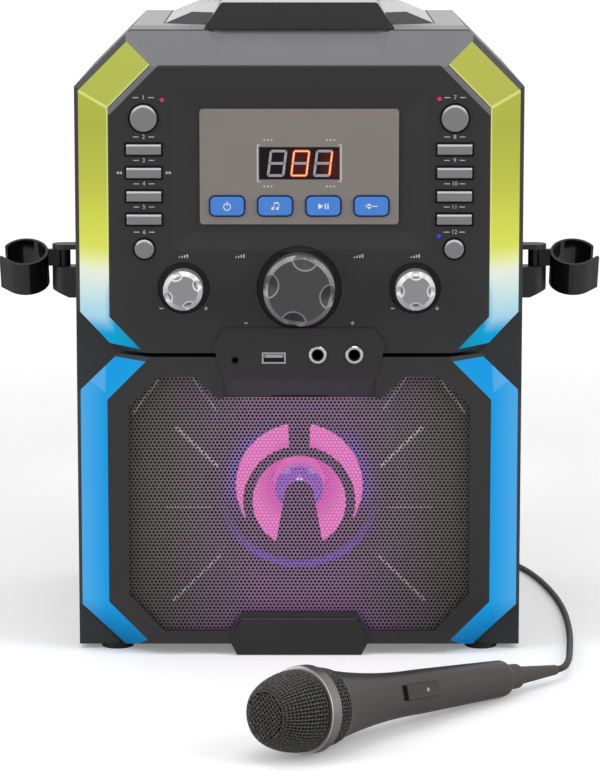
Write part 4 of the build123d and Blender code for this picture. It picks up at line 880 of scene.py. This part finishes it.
class KARAOKE_OT_finishes(bpy.types.Operator):
    """Finishes of the cabinet, controls, sockets and inner parts"""
    bl_idname = "karaoke.finishes"
    bl_label = "Finishes"

    def execute(self, context):
        tones = settings().casing
        inner = moulded("inner_plastic", shade(14, 14, 15), rough=0.55)
        black = moulded("black_casing", tones.casing)
        gloss = polished("gloss_black", tones.gloss)
        steel = bare_metal("zinc_steel", shade(170, 170, 174), 0.35)
        chrome = bare_metal("chrome", shade(205, 205, 210), 0.12)
        rubber = rubbery("black_rubber", shade(22, 22, 22))
        blue = metallic_paint("blue_paint", tones.blue, 0.1)
        finishes = {
            # the bevel and the deck get satin grey as painted light
            "front_housing": cabinet_black("front_casing", 359.2, tones.painted_top_light, 0.96),
            "rear_housing": cabinet_black("rear_casing", 379.2, tones.deck),
            "base_plate": black, "holder_brackets": black,
            "control_panel": panel_plastic(),
            "disc_lid": polished("lid_black", tones.lid), "holder_left": gloss, "holder_right": gloss,
            "disc_well": inner, "turntable": inner, "pickup_sled": inner, "speaker_guard": inner,
            "speaker_frame": inner, "aux_socket": inner, "rear_sockets": inner,
            "disc_chassis": steel, "potentiometers": steel, "case_screws": steel, "usb_socket": steel,
            "mic_sockets": jack_chrome(), "mic_plug": chrome, "circuit_boards": board_green(),
            "display_panel": moulded("display_plastic", tones.display, rough=0.4, mottle=0.03),
            "display_window": tinted_window(), "digit_segments": glowing("digit_orange", lit, 1.0),
            "led_bars_upper": glowing("upper_light", upper_glow, 0.97),
            "led_bars_lower": glowing("lower_light", lower_glow, 0.97),
            "indicator_leds": glowing("indicator_light", dot_glow, 0.9, 0.4, 0.2),
            "light_ring": glowing("ring_light", ring_glow, 0.9),
            "speaker_cone": glowing("cone_light", cone_glow, 1.0),
            "dust_dome": glowing("dome_light", dome_glow, 1.0),
            "speaker_magnet": bare_metal("ferrite", shade(60, 60, 62), 0.5, 0.2),
            "speaker_grille": bare_metal("grille_paint", settings().guard.metal, 0.45, 0.3),
            "feet": rubber, "mic_strain_relief": rubbery("bush_rubber", shade(62, 57, 54), 0.55),
            "mic_handle": metallic_paint("handle_paint", settings().microphone.body, 0.7),
            "mic_switch": switch_plastic(), "mic_collar": band_metal(),
            "mic_grille": moulded("mesh_core", shade(12, 12, 12)),
        }
        for name, tint, turn in (("knob_main", tones.knob, 80.0), ("knob_left", tones.small_knob, 22.0),
                                 ("knob_right", tones.small_knob, 90.0)):
            finishes[name] = spun_metal(name, tint, radians(turn))
        for name in frame["nodes"]:
            if name.startswith("button_blue"):
                dress(name, blue)
            elif name.startswith("button_"):
                dress(name, button_paint(name))
        for name, material in finishes.items():
            dress(name, material)
        return {"FINISHED"}


# ---------------------------------------------------------------- guard mesh

def everything(shape):
    return shape.verts[:] + shape.edges[:] + shape.faces[:]


def only_verts(parts):
    return [part for part in parts if isinstance(part, bmesh.types.BMVert)]


def repeat(sheet, count, step):
    """Copies what the sheet holds into a row, each copy a step from the last."""
    first = everything(sheet)
    for turn in range(1, count):
        copy = bmesh.ops.duplicate(sheet, geom=first)["geom"]
        bmesh.ops.translate(sheet, verts=only_verts(copy), vec=Vector(step) * turn)


def mirrored(half):
    """Closed outline from its right half, top to bottom."""
    return half + [(-x, z) for x, z in reversed(half)]


def inside(outline, x, z):
    """Whether a point lies in a closed outline."""
    hit = False
    for (x1, z1), (x2, z2) in zip(outline, outline[1:] + outline[:1]):
        if (z1 > z) != (z2 > z) and x < x1 + (z - z1) * (x2 - x1) / (z2 - z1):
            hit = not hit
    return hit


def off_line(x, z, start, end):
    """Distance of a point from a stretch of line."""
    run = Vector(end) - Vector(start)
    share = max(0.0, min(1.0, (Vector((x, z)) - Vector(start)).dot(run) / run.length_squared))
    return (Vector((x, z)) - Vector(start) - run * share).length


class KARAOKE_OT_guard_mesh(bpy.types.Operator):
    """Punched sheet with pressed ribs in front of the loudspeaker"""
    bl_idname = "karaoke.guard_mesh"
    bl_label = "Guard mesh"

    wall = 0.7                        # depth of a hole's wall
    rib_half, crease_half = 1.6, 1.4  # half widths; a line is two ends and how bright a painted highlight its top gets
    ribs = [((-74.0, 139.5), (-50.0, 116.2), 0.55), ((-80.0, 90.4), (-53.7, 90.4), 0.08),
            ((-76.0, 33.0), (-47.9, 60.5), 0.3)]
    creases = [((-85.6, 169.3), (-100.8, 149.2), 0.45), ((-63.6, 170.5), (-51.0, 151.5), 0.4)]

    def execute(self, context):
        look = settings().guard
        low, high = box_of("speaker_grille")
        sheet = bmesh.new()
        self.add_cell(sheet, look)
        row = look.pitch * sqrt(3) / 2
        repeat(sheet, round(2 * high.x * MM / look.pitch) + 2, (look.pitch, 0, 0))
        second = bmesh.ops.duplicate(sheet, geom=everything(sheet))["geom"]
        bmesh.ops.translate(sheet, verts=only_verts(second), vec=(look.pitch / 2, 0, row))
        repeat(sheet, round((high.z - low.z) * MM / row / 2) + 2, (0, 0, 2 * row))
        bmesh.ops.remove_doubles(sheet, verts=sheet.verts[:], dist=0.02 * MM)
        bmesh.ops.translate(sheet, verts=sheet.verts[:],
                            vec=(-(high.x + 2.0) * MM, low.y * MM, (low.z - 1.0) * MM))
        self.cut(sheet, self.outline(low, high))
        self.press(sheet, look)
        made = add_piece("guard_mesh", sheet, guard_metal())
        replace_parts(made, "speaker_grille")
        return {"FINISHED"}

    def add_cell(self, sheet, look):
        """One six-sided cell with its hole and the hole's wall."""
        bmesh.ops.create_circle(sheet, segments=6, radius=look.pitch / sqrt(3))
        hole = bmesh.ops.create_circle(sheet, segments=6, radius=look.hole)["verts"]
        bmesh.ops.bridge_loops(sheet, edges=sheet.edges[:])
        rim = [edge for edge in sheet.edges if all(vert in hole for vert in edge.verts)]
        back = bmesh.ops.extrude_edge_only(sheet, edges=rim)["geom"]
        bmesh.ops.translate(sheet, verts=only_verts(back), vec=(0, 0, -self.wall * MM))
        bmesh.ops.rotate(sheet, verts=sheet.verts[:], matrix=Matrix.Rotation(pi / 2, 3, "X"))
        bmesh.ops.recalc_face_normals(sheet, faces=sheet.faces[:])
        sheet.normal_update()
        if max(sheet.faces, key=lambda face: abs(face.normal.y)).normal.y > 0:
            bmesh.ops.reverse_faces(sheet, faces=sheet.faces[:])

    def outline(self, low, high):
        """Outline of the guard's opening, in millimetres, from the frame's own sheet."""
        half, top, base = high.x, high.z, low.z
        return mirrored([(49.6, top - 13.5), (63.4, top), (83.1, top), (half - 0.5, top - 18.1),
                         (half, base + 22.8), (half - 21.0, base), (42.7, base), (35.0, base + 11.3)])

    def cut(self, sheet, outline):
        """Cuts the sheet along the outline and drops what lies outside."""
        for (x1, z1), (x2, z2) in zip(outline, outline[1:] + outline[:1]):
            bmesh.ops.bisect_plane(sheet, geom=everything(sheet), dist=1e-6,
                                   plane_co=Vector((x1, 0, z1)) * MM, plane_no=(z2 - z1, 0, x1 - x2))
        middles = [(face, face.calc_center_median() / MM) for face in sheet.faces]
        outside = [face for face, middle in middles if not inside(outline, middle.x, middle.z)]
        bmesh.ops.delete(sheet, geom=outside, context="FACES")

    def press(self, sheet, look):
        """Raises the ribs and the upper corners' creases, alike on both sides, and notes how bright a painted
        highlight each point on them gets.
        """
        lines = [(*rib, self.rib_half, look.rib) for rib in self.ribs]
        lines += [(*crease, self.crease_half, look.rib * 0.6) for crease in self.creases]
        crest = sheet.verts.layers.float.new("crest")
        for vert in sheet.verts:
            x, z = -abs(vert.co.x / MM), vert.co.z / MM
            for start, end, worn, half_width, height in lines:
                share = max(0.0, 1.0 - off_line(x, z, start, end) / half_width)
                vert.co.y -= height * share * share * (3 - 2 * share)
                # painted highlight: how bright each rib's top is painted
                vert[crest] = max(vert[crest], worn * min(1.0, 1.6 * share))


def window_mask(made):
    """1 over the guard's four windows, as seen on the mesh."""
    x, _, z = made.axes()
    out = abs(x)
    opening = made.radius(0.0, speaker_z) < 38.5
    arch_r = made.radius(0.0, speaker_z - 9.8)
    arch = (arch_r > 28.3) * (arch_r < 34.1)
    spoke = (out < 6.5) * (z > 122.0)
    foot = (out - 0.18 * (98.0 - z) < 9.0) * (z < 98.0)
    hub = made.radius(0.0, 98.0) < 9.0
    return opening * (1 - made.most(arch, spoke, foot, hub))


def guard_metal():
    """Painted sheet metal, faintly uneven, with painted highlights on its ribs, pink light before the windows
    and violet round them, and painted shade towards its outline.
    """
    made = Finish("guard_metal")
    lights = settings().lights
    x, _, z = made.axes()
    r = made.radius(0.0, speaker_z)
    haze = (1 - made.span(abs(x), 26.0, 92.0)) ** 1.3
    rim = made.near(r, 41.0, 1.5, 4.5) * made.span(z, 84.0, 100.0) * (1 - made.span(z, 132.0, 142.0))
    foot = made.near(r, 49.0, 0.6, 2.6) * (1 - made.span(z, 62.0, 76.0))
    glow = made.mix(made.most(rim * 0.55, foot * 0.4), made.mix(haze, (0, 0, 0), tuple(lights.haze)),
                    shade(92, 44, 170))
    windows = window_mask(made)
    dome = (made.radius(0.0, speaker_z - 0.4) < 14.6) * windows
    glow = made.mix(windows, glow, tuple(lights.windows))
    glow = made.mix(dome, glow, shade(116, 52, 150))
    worn = made.noise(700.0, 2.0)
    shaded = 0.5 * made.span(r, 62.0, 112.0)
    painted = made.mix(shaded, made.cloudy(worn, settings().guard.metal, 0.15), (0, 0, 0))
    # painted highlight on the ribs, from the weights noted in press
    crest = made.add("ShaderNodeAttribute", {"attribute_name": "crest"}).outputs["Fac"]
    made.set(base_color=made.mix(Signal(made, crest), painted, tuple(settings().guard.crest)),
             metallic=0.25, roughness=0.42 + 0.12 * worn, specular_ior_level=0.5,
             emission_color=glow, emission_strength=1.0)
    made.bump(made.noise(4200.0, 1.0), 0.01, 0.3)
    return made.material


# ---------------------------------------------------------------- digits, numbers and symbols

def thicken(shape, faces, thick):
    """Extrudes flat faces upwards."""
    raised = bmesh.ops.extrude_face_region(shape, geom=faces)["geom"]
    bmesh.ops.translate(shape, verts=only_verts(raised), vec=(0, 0, thick))
    shape.verts.ensure_lookup_table()


def flat_bar(shape, middle, size, y, thick, lean=0.0, turn=0.0, pointed=True):
    """Bar with pointed or square ends, standing up to the front; millimetres."""
    long, wide = size
    start = len(shape.verts)
    if pointed:
        verts = bmesh.ops.create_circle(shape, cap_ends=True, segments=6, radius=wide / 2)["verts"]
        bmesh.ops.rotate(shape, verts=verts, matrix=Matrix.Rotation(pi / 2, 3, "Z"))
        for vert in verts:
            vert.co.x += (long - wide) / 2 * (1 if vert.co.x > 1e-6 else -1)
    else:
        verts = bmesh.ops.create_grid(shape, x_segments=1, y_segments=1, size=0.5)["verts"]
        bmesh.ops.scale(shape, verts=verts, vec=(long, wide, 1))
    thicken(shape, verts[0].link_faces[:1], thick)
    made = shape.verts[start:]
    bmesh.ops.transform(shape, verts=made, matrix=Matrix.Rotation(turn, 4, "Z"))
    for vert in made:
        vert.co.x += vert.co.y * tan(lean)
    place_front(shape, made, middle, y)


def flat_shape(shape, middle, radius, y, thick, corners, turn=0.0):
    """Regular flat shape standing up to the front, such as a triangle or a dot; millimetres."""
    start = len(shape.verts)
    verts = bmesh.ops.create_circle(shape, cap_ends=True, segments=corners, radius=radius)["verts"]
    thicken(shape, verts[0].link_faces[:1], thick)
    made = shape.verts[start:]
    bmesh.ops.transform(shape, verts=made, matrix=Matrix.Rotation(turn, 4, "Z"))
    place_front(shape, made, middle, y)


def flat_ring(shape, middle, outer, inner, y, thick, corners=20):
    """Flat ring standing up to the front; millimetres."""
    start = len(shape.verts)
    rims = [bmesh.ops.create_circle(shape, segments=corners, radius=r)["verts"] for r in (outer, inner)]
    edges = {edge for rim in rims for vert in rim for edge in vert.link_edges}
    faces = bmesh.ops.bridge_loops(shape, edges=list(edges))["faces"]
    thicken(shape, faces, thick)
    place_front(shape, shape.verts[start:], middle, y)


def place_front(shape, verts, middle, y):
    """Stands a flat shape up to face the front and moves it to its place, from millimetres to metres."""
    upright = Matrix.Rotation(pi / 2, 4, "X")
    place = Matrix.Translation(Vector((middle[0], y, middle[1])) * MM)
    bmesh.ops.transform(shape, verts=verts, matrix=place @ Matrix.Scale(MM, 4) @ upright)


def number(shape, text, middle, height, y, thick):
    """A plain number, centred; millimetres."""
    font = bpy.data.curves.new("number", "FONT")
    font.body = text
    font.size = height * 1.4
    font.align_x = "CENTER"
    font.align_y = "CENTER"
    font.extrude = thick / 2
    font.resolution_u = 2
    holder = bpy.data.objects.new("number", font)
    data = bpy.data.meshes.new_from_object(holder)
    start = len(shape.verts)
    shape.from_mesh(data)
    shape.verts.ensure_lookup_table()
    place_front(shape, shape.verts[start:], middle, y - thick / 2)
    bpy.data.meshes.remove(data)
    bpy.data.objects.remove(holder)
    bpy.data.curves.remove(font)


def finish_shape(name, shape, material, body=MACHINE):
    """Cleans a flat shape and makes a piece of it."""
    bmesh.ops.remove_doubles(shape, verts=shape.verts[:], dist=1e-7)
    bmesh.ops.recalc_face_normals(shape, faces=shape.faces[:])
    return add_piece(name, shape, material, body)


def plain_print(name, tint):
    """Printed ink, slightly uneven."""
    made = Finish(name)
    cloud = made.noise(2000.0, 2.0)
    made.set(base_color=made.mix(cloud, scaled(tint, 0.8), tint), roughness=0.5 + 0.1 * cloud)
    return made.material


class KARAOKE_OT_digits(bpy.types.Operator):
    """Display digits: lit and unlit bars"""
    bl_idname = "karaoke.digits"
    bl_label = "Digits"

    digits = {-13.2: "", 0.6: "abcdef", 14.3: "bc"}    # a digit's middle in X, and its lit bars
    size = (9.0, 14.6)
    bar, core = 1.75, 0.8             # widths of a bar and of its bright middle
    bar_thick, core_thick = 0.27, 0.3
    lean = radians(7.0)
    bars = {"a": (0, 1, 0), "g": (0, 0, 0), "d": (0, -1, 0), "f": (-1, 0.5, 1), "b": (1, 0.5, 1),
            "e": (-1, -0.5, 1), "c": (1, -0.5, 1)}     # across, up, and whether it stands upright

    def execute(self, context):
        back = box_of("digit_segments")[1].y
        z = window_middle()
        wide, high = self.size
        lit_bars, lit_cores, unlit_bars = bmesh.new(), bmesh.new(), bmesh.new()
        for x, lit_names in self.digits.items():
            for name, (across, up, upright) in self.bars.items():
                shape = lit_bars if name in lit_names else unlit_bars
                rise = up * high / 2
                middle = (x + across * wide / 2 + rise * tan(self.lean), z + rise)
                long = (high / 2 if upright else wide) + self.bar * 0.45 - 0.5
                lean, turn = (self.lean, pi / 2) if upright else (0.0, 0.0)
                flat_bar(shape, middle, (long, self.bar), back, self.bar_thick, lean, turn)
                if name in lit_names:
                    flat_bar(lit_cores, middle, (long - 0.6, self.core), back, self.core_thick, lean, turn)
        for name, shape, material in (
                ("digits_lit", lit_bars, glowing("digit_light", lit, 1.0)),
                ("digits_core", lit_cores, glowing("digit_core_light", lit_core, 1.0)),
                ("digits_unlit", unlit_bars, plain_print("digit_grey", shade(158, 152, 158)))):
            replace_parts(finish_shape(name, shape, material), "digit_segments")
        return {"FINISHED"}


class KARAOKE_OT_marks(bpy.types.Operator):
    """Plain numbers and symbols on the panel, and symbols on the blue buttons"""
    bl_idname = "karaoke.marks"
    bl_label = "Marks"

    ink = 0.06                        # thickness of the print
    small_shown, bar_shown, big_shown = 5.8, 3.1, 8.0    # half heights of the buttons as they show
    above, number_high = 4.3, 2.6     # a number's middle above its button, and its height
    aside, rule = 4.6, (3.4, 0.5)     # the short rule on each side of a number
    sign = (2.2, 0.6)                 # stroke of the plus and minus signs
    steps_up, main_steps_x = 19.2, 35.5    # level bars above the knobs, and at the sides of the large one
    knob_signs = {"knob_left": (13.4, 12.4), "knob_right": (13.4, 12.4), "knob_main": (32.0, 21.3)}
    arrows_x = 14.6                   # double arrows beside the second bar button on the left

    def execute(self, context):
        self.print_panel()
        self.print_display()
        self.print_buttons()
        return {"FINISHED"}

    def stroke(self, shape, middle, size, front, turn=0.0):
        """Square-ended stroke of ink."""
        flat_bar(shape, middle, size, front, self.ink, turn=turn, pointed=False)

    def print_panel(self):
        shape = bmesh.new()
        front = box_of("front_housing")[0].y
        shown = {"big": self.big_shown, "bar_1": self.bar_shown, "bar_2": self.bar_shown,
                 "bar_3": self.bar_shown, "bar_4": self.bar_shown, "small": self.small_shown}
        for count, (side, name) in enumerate([(side, name) for side in ("left", "right") for name in shown]):
            x, z, _, _ = face_of(f"button_{side}_{name}")
            up = z + shown[name] + self.above
            number(shape, str(count + 1), (x, up), self.number_high, front, self.ink)
            for across in (-self.aside, self.aside):
                self.stroke(shape, (x + across, up), self.rule, front)
        for node, (reach, down) in self.knob_signs.items():
            x, z, _, _ = face_of(node)
            self.stroke(shape, (x - reach, z - down), self.sign, front)
            self.stroke(shape, (x + reach, z - down), self.sign, front)
            self.stroke(shape, (x + reach, z - down), self.sign, front, pi / 2)
            for across in (-self.main_steps_x, self.main_steps_x) if node == "knob_main" else (0.0,):
                self.print_steps(shape, x + across, z + self.steps_up, front)
        x, z, _, _ = face_of("button_left_bar_2")
        for across, turn in ((-self.arrows_x, pi / 2), (self.arrows_x, -pi / 2)):
            for step in (-0.9, 0.9):
                flat_shape(shape, (x + across + step, z), 1.1, front, self.ink, 3, turn)
        finish_shape("panel_marks", shape, plain_print("pale_ink", shade(188, 188, 190)))

    def print_steps(self, shape, x, z, front):
        """Four level bars, each taller than the last."""
        for step in range(4):
            tall = 0.7 + 0.5 * step
            self.stroke(shape, (x - 2.4 + 1.6 * step, z + tall / 2 - 1.0), (0.8, tall), front)

    def print_display(self):
        """Brackets round the display window, with rows of dots over and under it."""
        shape = bmesh.new()
        low, high = box_of("display_window")
        front = box_of("display_panel")[0].y
        for side in (-1, 1):
            edge = side * (high.x + 1.0)
            self.stroke(shape, (edge, window_middle()), (high.z - low.z + 2.6, 0.7), front, pi / 2)
            for z in (low.z - 1.3, high.z + 1.3):
                self.stroke(shape, (edge - side * 0.7, z), (2.0, 0.6), front)
            for z in (low.z - 4.2, high.z + 4.2):
                for step in range(3):
                    flat_shape(shape, (side * (high.x - 3.0 - 2.2 * step), z), 0.55, front, self.ink, 12)
        finish_shape("display_marks", shape, plain_print("display_ink", shade(205, 202, 198)))

    def print_buttons(self):
        """Symbols for power, music, play and pause, and a plug on the blue buttons."""
        paint = plain_print("white_ink", shade(215, 232, 250))
        for count in range(1, 5):
            name = f"button_blue_{count}"
            x, z, front, _ = face_of(name)
            shape = bmesh.new()
            if count == 1:
                flat_ring(shape, (x, z - 0.3), 2.3, 1.75, front, self.ink)
                self.stroke(shape, (x, z + 1.6), (2.6, 0.6), front, pi / 2)
            elif count == 2:
                for across in (-1.4, 1.4):
                    flat_shape(shape, (x + across, z - 1.3), 0.95, front, self.ink, 12)
                    self.stroke(shape, (x + across + 0.75, z + 0.4), (3.6, 0.45), front, pi / 2)
                self.stroke(shape, (x + 0.75, z + 2.0), (3.2, 0.9), front)
            elif count == 3:
                flat_shape(shape, (x - 1.9, z), 2.1, front, self.ink, 3, -pi / 2)
                for across in (1.2, 2.8):
                    self.stroke(shape, (x + across, z), (3.4, 0.8), front, pi / 2)
            else:
                self.stroke(shape, (x, z), (7.6, 0.55), front)
                flat_shape(shape, (x - 1.4, z), 1.5, front, self.ink, 16)
            finish_shape(f"symbol_{count}", shape, paint, name)


# ---------------------------------------------------------------- microphone

head_profile = [(-32.5, 0.0), (-32.5, 13.0), (-31.2, 15.0), (-29.5, 16.8), (-26.8, 18.4), (-23.5, 19.9),
                (-19.0, 21.35), (-14.5, 22.4), (-9.0, 23.1), (-3.4, 23.3)]
head_middle = -12.0       # where the head's round part has its middle, along the axis
second_weave = (0.5, 22.85, 0.06)    # of the band behind: its gap, its radius and how fast it narrows


def on_head(run, turn, lift):
    """Point on the head a run of profile from its middle, at an angle round its axis; millimetres."""
    left = run
    for (axial, radius), (next_axial, next_radius) in zip(head_profile, head_profile[1:]):
        step = hypot(next_axial - axial, next_radius - radius)
        if left <= step or next_axial == head_profile[-1][0]:
            share = min(1.0, left / step)
            axial += (next_axial - axial) * share
            radius += (next_radius - radius) * share
            break
        left -= step
    outward = mic_upright * cos(turn) + mic_sideways * sin(turn)
    slope = Vector((min(0.0, axial - head_middle), radius)).normalized()
    return mic_start + mic_axis * (axial + slope.x * lift) + outward * (radius + slope.y * lift)


def on_band(run, turn, lift):
    """Point on the second woven band, a run along the axis from its front; millimetres."""
    gap, radius, taper = second_weave
    outward = mic_upright * cos(turn) + mic_sideways * sin(turn)
    return mic_start + mic_axis * (mic_band_half + gap + run) + outward * (radius - taper * run + lift)


class KARAOKE_OT_microphone_head(bpy.types.Operator):
    """Woven wire head and its second woven band, round a dark core"""
    bl_idname = "karaoke.microphone_head"
    bl_label = "Microphone head"

    wave = 0.34                       # how far a wire goes over and under the others
    sink = 1.15                       # depth of the wires' middles under the head's outline
    ridge = 14.0                      # run from the nose to the ridge between the two weaves
    around = 64                       # wires that run along the head
    band_rows, band_pitch = 6, 1.9

    def execute(self, context):
        look = settings().microphone
        wires = bpy.data.curves.new("wires", "CURVE")
        wires.dimensions = "3D"
        wires.bevel_depth = look.wire
        wires.bevel_resolution = 0
        self.pitch = look.pitch / MM
        self.weave_nose(wires)
        reach = sum(hypot(b[0] - a[0], b[1] - a[1]) for a, b in zip(head_profile, head_profile[1:]))
        rows = int((reach - self.ridge) / self.pitch)
        self.weave_round(wires, [self.ridge + row * self.pitch for row in range(rows + 1)], on_head)
        self.weave_round(wires, [row * self.band_pitch for row in range(self.band_rows)], on_band)
        holder = bpy.data.objects.new("wires", wires)
        data = bpy.data.meshes.new_from_object(holder)
        mesh = bmesh.new()
        mesh.from_mesh(data)
        bpy.data.objects.remove(holder)
        bpy.data.curves.remove(wires)
        bpy.data.meshes.remove(data)
        made = add_piece("microphone_mesh", mesh, wire_paint())
        core = add_piece("microphone_core", self.core(), moulded("head_foam", shade(6, 6, 6), rough=0.8),
                         smooth=True)
        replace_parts(made, "mic_grille")
        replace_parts(core, "mic_grille")
        return {"FINISHED"}

    def add_wire(self, wires, points, closed=False):
        if len(points) < 2:
            return
        spline = wires.splines.new("POLY")
        spline.points.add(len(points) - 1)
        for control, point in zip(spline.points, points):
            control.co = (*(point * MM), 1.0)
        spline.use_cyclic_u = closed

    def weave_nose(self, wires):
        """A square weave pressed over the nose, as far as the ridge."""
        count = int(self.ridge / self.pitch)
        for along in (0, 1):
            for line in range(-count, count + 1):
                points = []
                for step in range(-count, count + 1):
                    u, v = line * self.pitch, step * self.pitch
                    if hypot(u, v) > self.ridge:
                        continue
                    if along:
                        u, v = v, u
                    over = 1 if (line + step + along) % 2 else -1
                    points.append(on_head(hypot(u, v), atan2(v, u) + pi / 4, over * self.wave - self.sink))
                self.add_wire(wires, points)

    def weave_round(self, wires, runs, surface):
        """Wires round and along a band of the head, each over and under the others in turn."""
        def crossing(row, column, side):
            over = side if (row + column) % 2 else -side
            return surface(runs[row], 2 * pi * column / self.around, over * self.wave - self.sink)

        for row in range(len(runs)):
            self.add_wire(wires, [crossing(row, column, 1) for column in range(self.around)], closed=True)
        for column in range(self.around):
            self.add_wire(wires, [crossing(row, column, -1) for row in range(len(runs))])

    def core(self):
        """Dark foam just under the weave."""
        shape = bmesh.new()
        profile = [(-30.3, 0.0), (-30.3, 11.0), (-28.4, 14.2), (-25.8, 16.2), (-22.6, 17.6)]
        profile += [(axial, radius - 2.2) for axial, radius in head_profile if axial > -20.0]
        profile += [(14.2, 19.9), (14.2, 0.0)]
        verts = [shape.verts.new((radius, 0, axial)) for axial, radius in profile]
        edges = [shape.edges.new(pair) for pair in zip(verts, verts[1:])]
        bmesh.ops.spin(shape, geom=verts + edges, axis=(0, 0, 1), cent=(0, 0, 0), angle=2 * pi, steps=64,
                       use_merge=True)
        bmesh.ops.remove_doubles(shape, verts=shape.verts[:], dist=1e-3)
        bmesh.ops.recalc_face_normals(shape, faces=shape.faces[:])
        turned = Vector((0, 0, 1)).rotation_difference(mic_axis).to_matrix().to_4x4()
        bmesh.ops.transform(shape, verts=shape.verts[:],
                            matrix=Matrix.Scale(MM, 4) @ Matrix.Translation(mic_start) @ turned)
        return shape


def wire_paint():
    """Black painted wire, a little brighter in random patches."""
    made = Finish("wire_paint")
    worn = made.span(made.noise(1500.0, 2.0), 0.45, 0.75)
    made.set(base_color=made.mix(worn, shade(48, 47, 46), shade(118, 116, 112)), metallic=0.3,
             roughness=0.4 + 0.12 * worn, specular_ior_level=0.5)
    return made.material


# ---------------------------------------------------------------- running it

class KARAOKE_PT_sidebar(bpy.types.Panel):
    """Lists every piece that can be made"""
    bl_label = "Karaoke machine"
    bl_idname = "KARAOKE_PT_sidebar"
    bl_space_type = "VIEW_3D"
    bl_region_type = "UI"
    bl_category = "Karaoke"

    def draw(self, context):
        for operator in OPERATORS:
            self.layout.operator(operator.bl_idname)


OPERATORS = (KARAOKE_OT_stage, KARAOKE_OT_cord, KARAOKE_OT_finishes, KARAOKE_OT_guard_mesh,
             KARAOKE_OT_digits, KARAOKE_OT_marks, KARAOKE_OT_microphone_head)
GROUPS = (CasingFinish, LightFinish, GuardMesh, MicrophoneLook, CordLook, Studio, KaraokeMachine)


def register():
    for kind in (*GROUPS, *OPERATORS, KARAOKE_PT_sidebar):
        bpy.utils.register_class(kind)
    bpy.types.Scene.karaoke_machine = PointerProperty(type=KaraokeMachine)


def unregister():
    del bpy.types.Scene.karaoke_machine
    for kind in reversed((*GROUPS, *OPERATORS, KARAOKE_PT_sidebar)):
        bpy.utils.unregister_class(kind)


def main():
    register()
    bpy.ops.karaoke.stage()
    bpy.ops.karaoke.cord()
    bpy.ops.karaoke.finishes()
    bpy.ops.karaoke.guard_mesh()
    bpy.ops.karaoke.digits()
    bpy.ops.karaoke.marks()
    bpy.ops.karaoke.microphone_head()


if __name__ == "__main__":
    main()
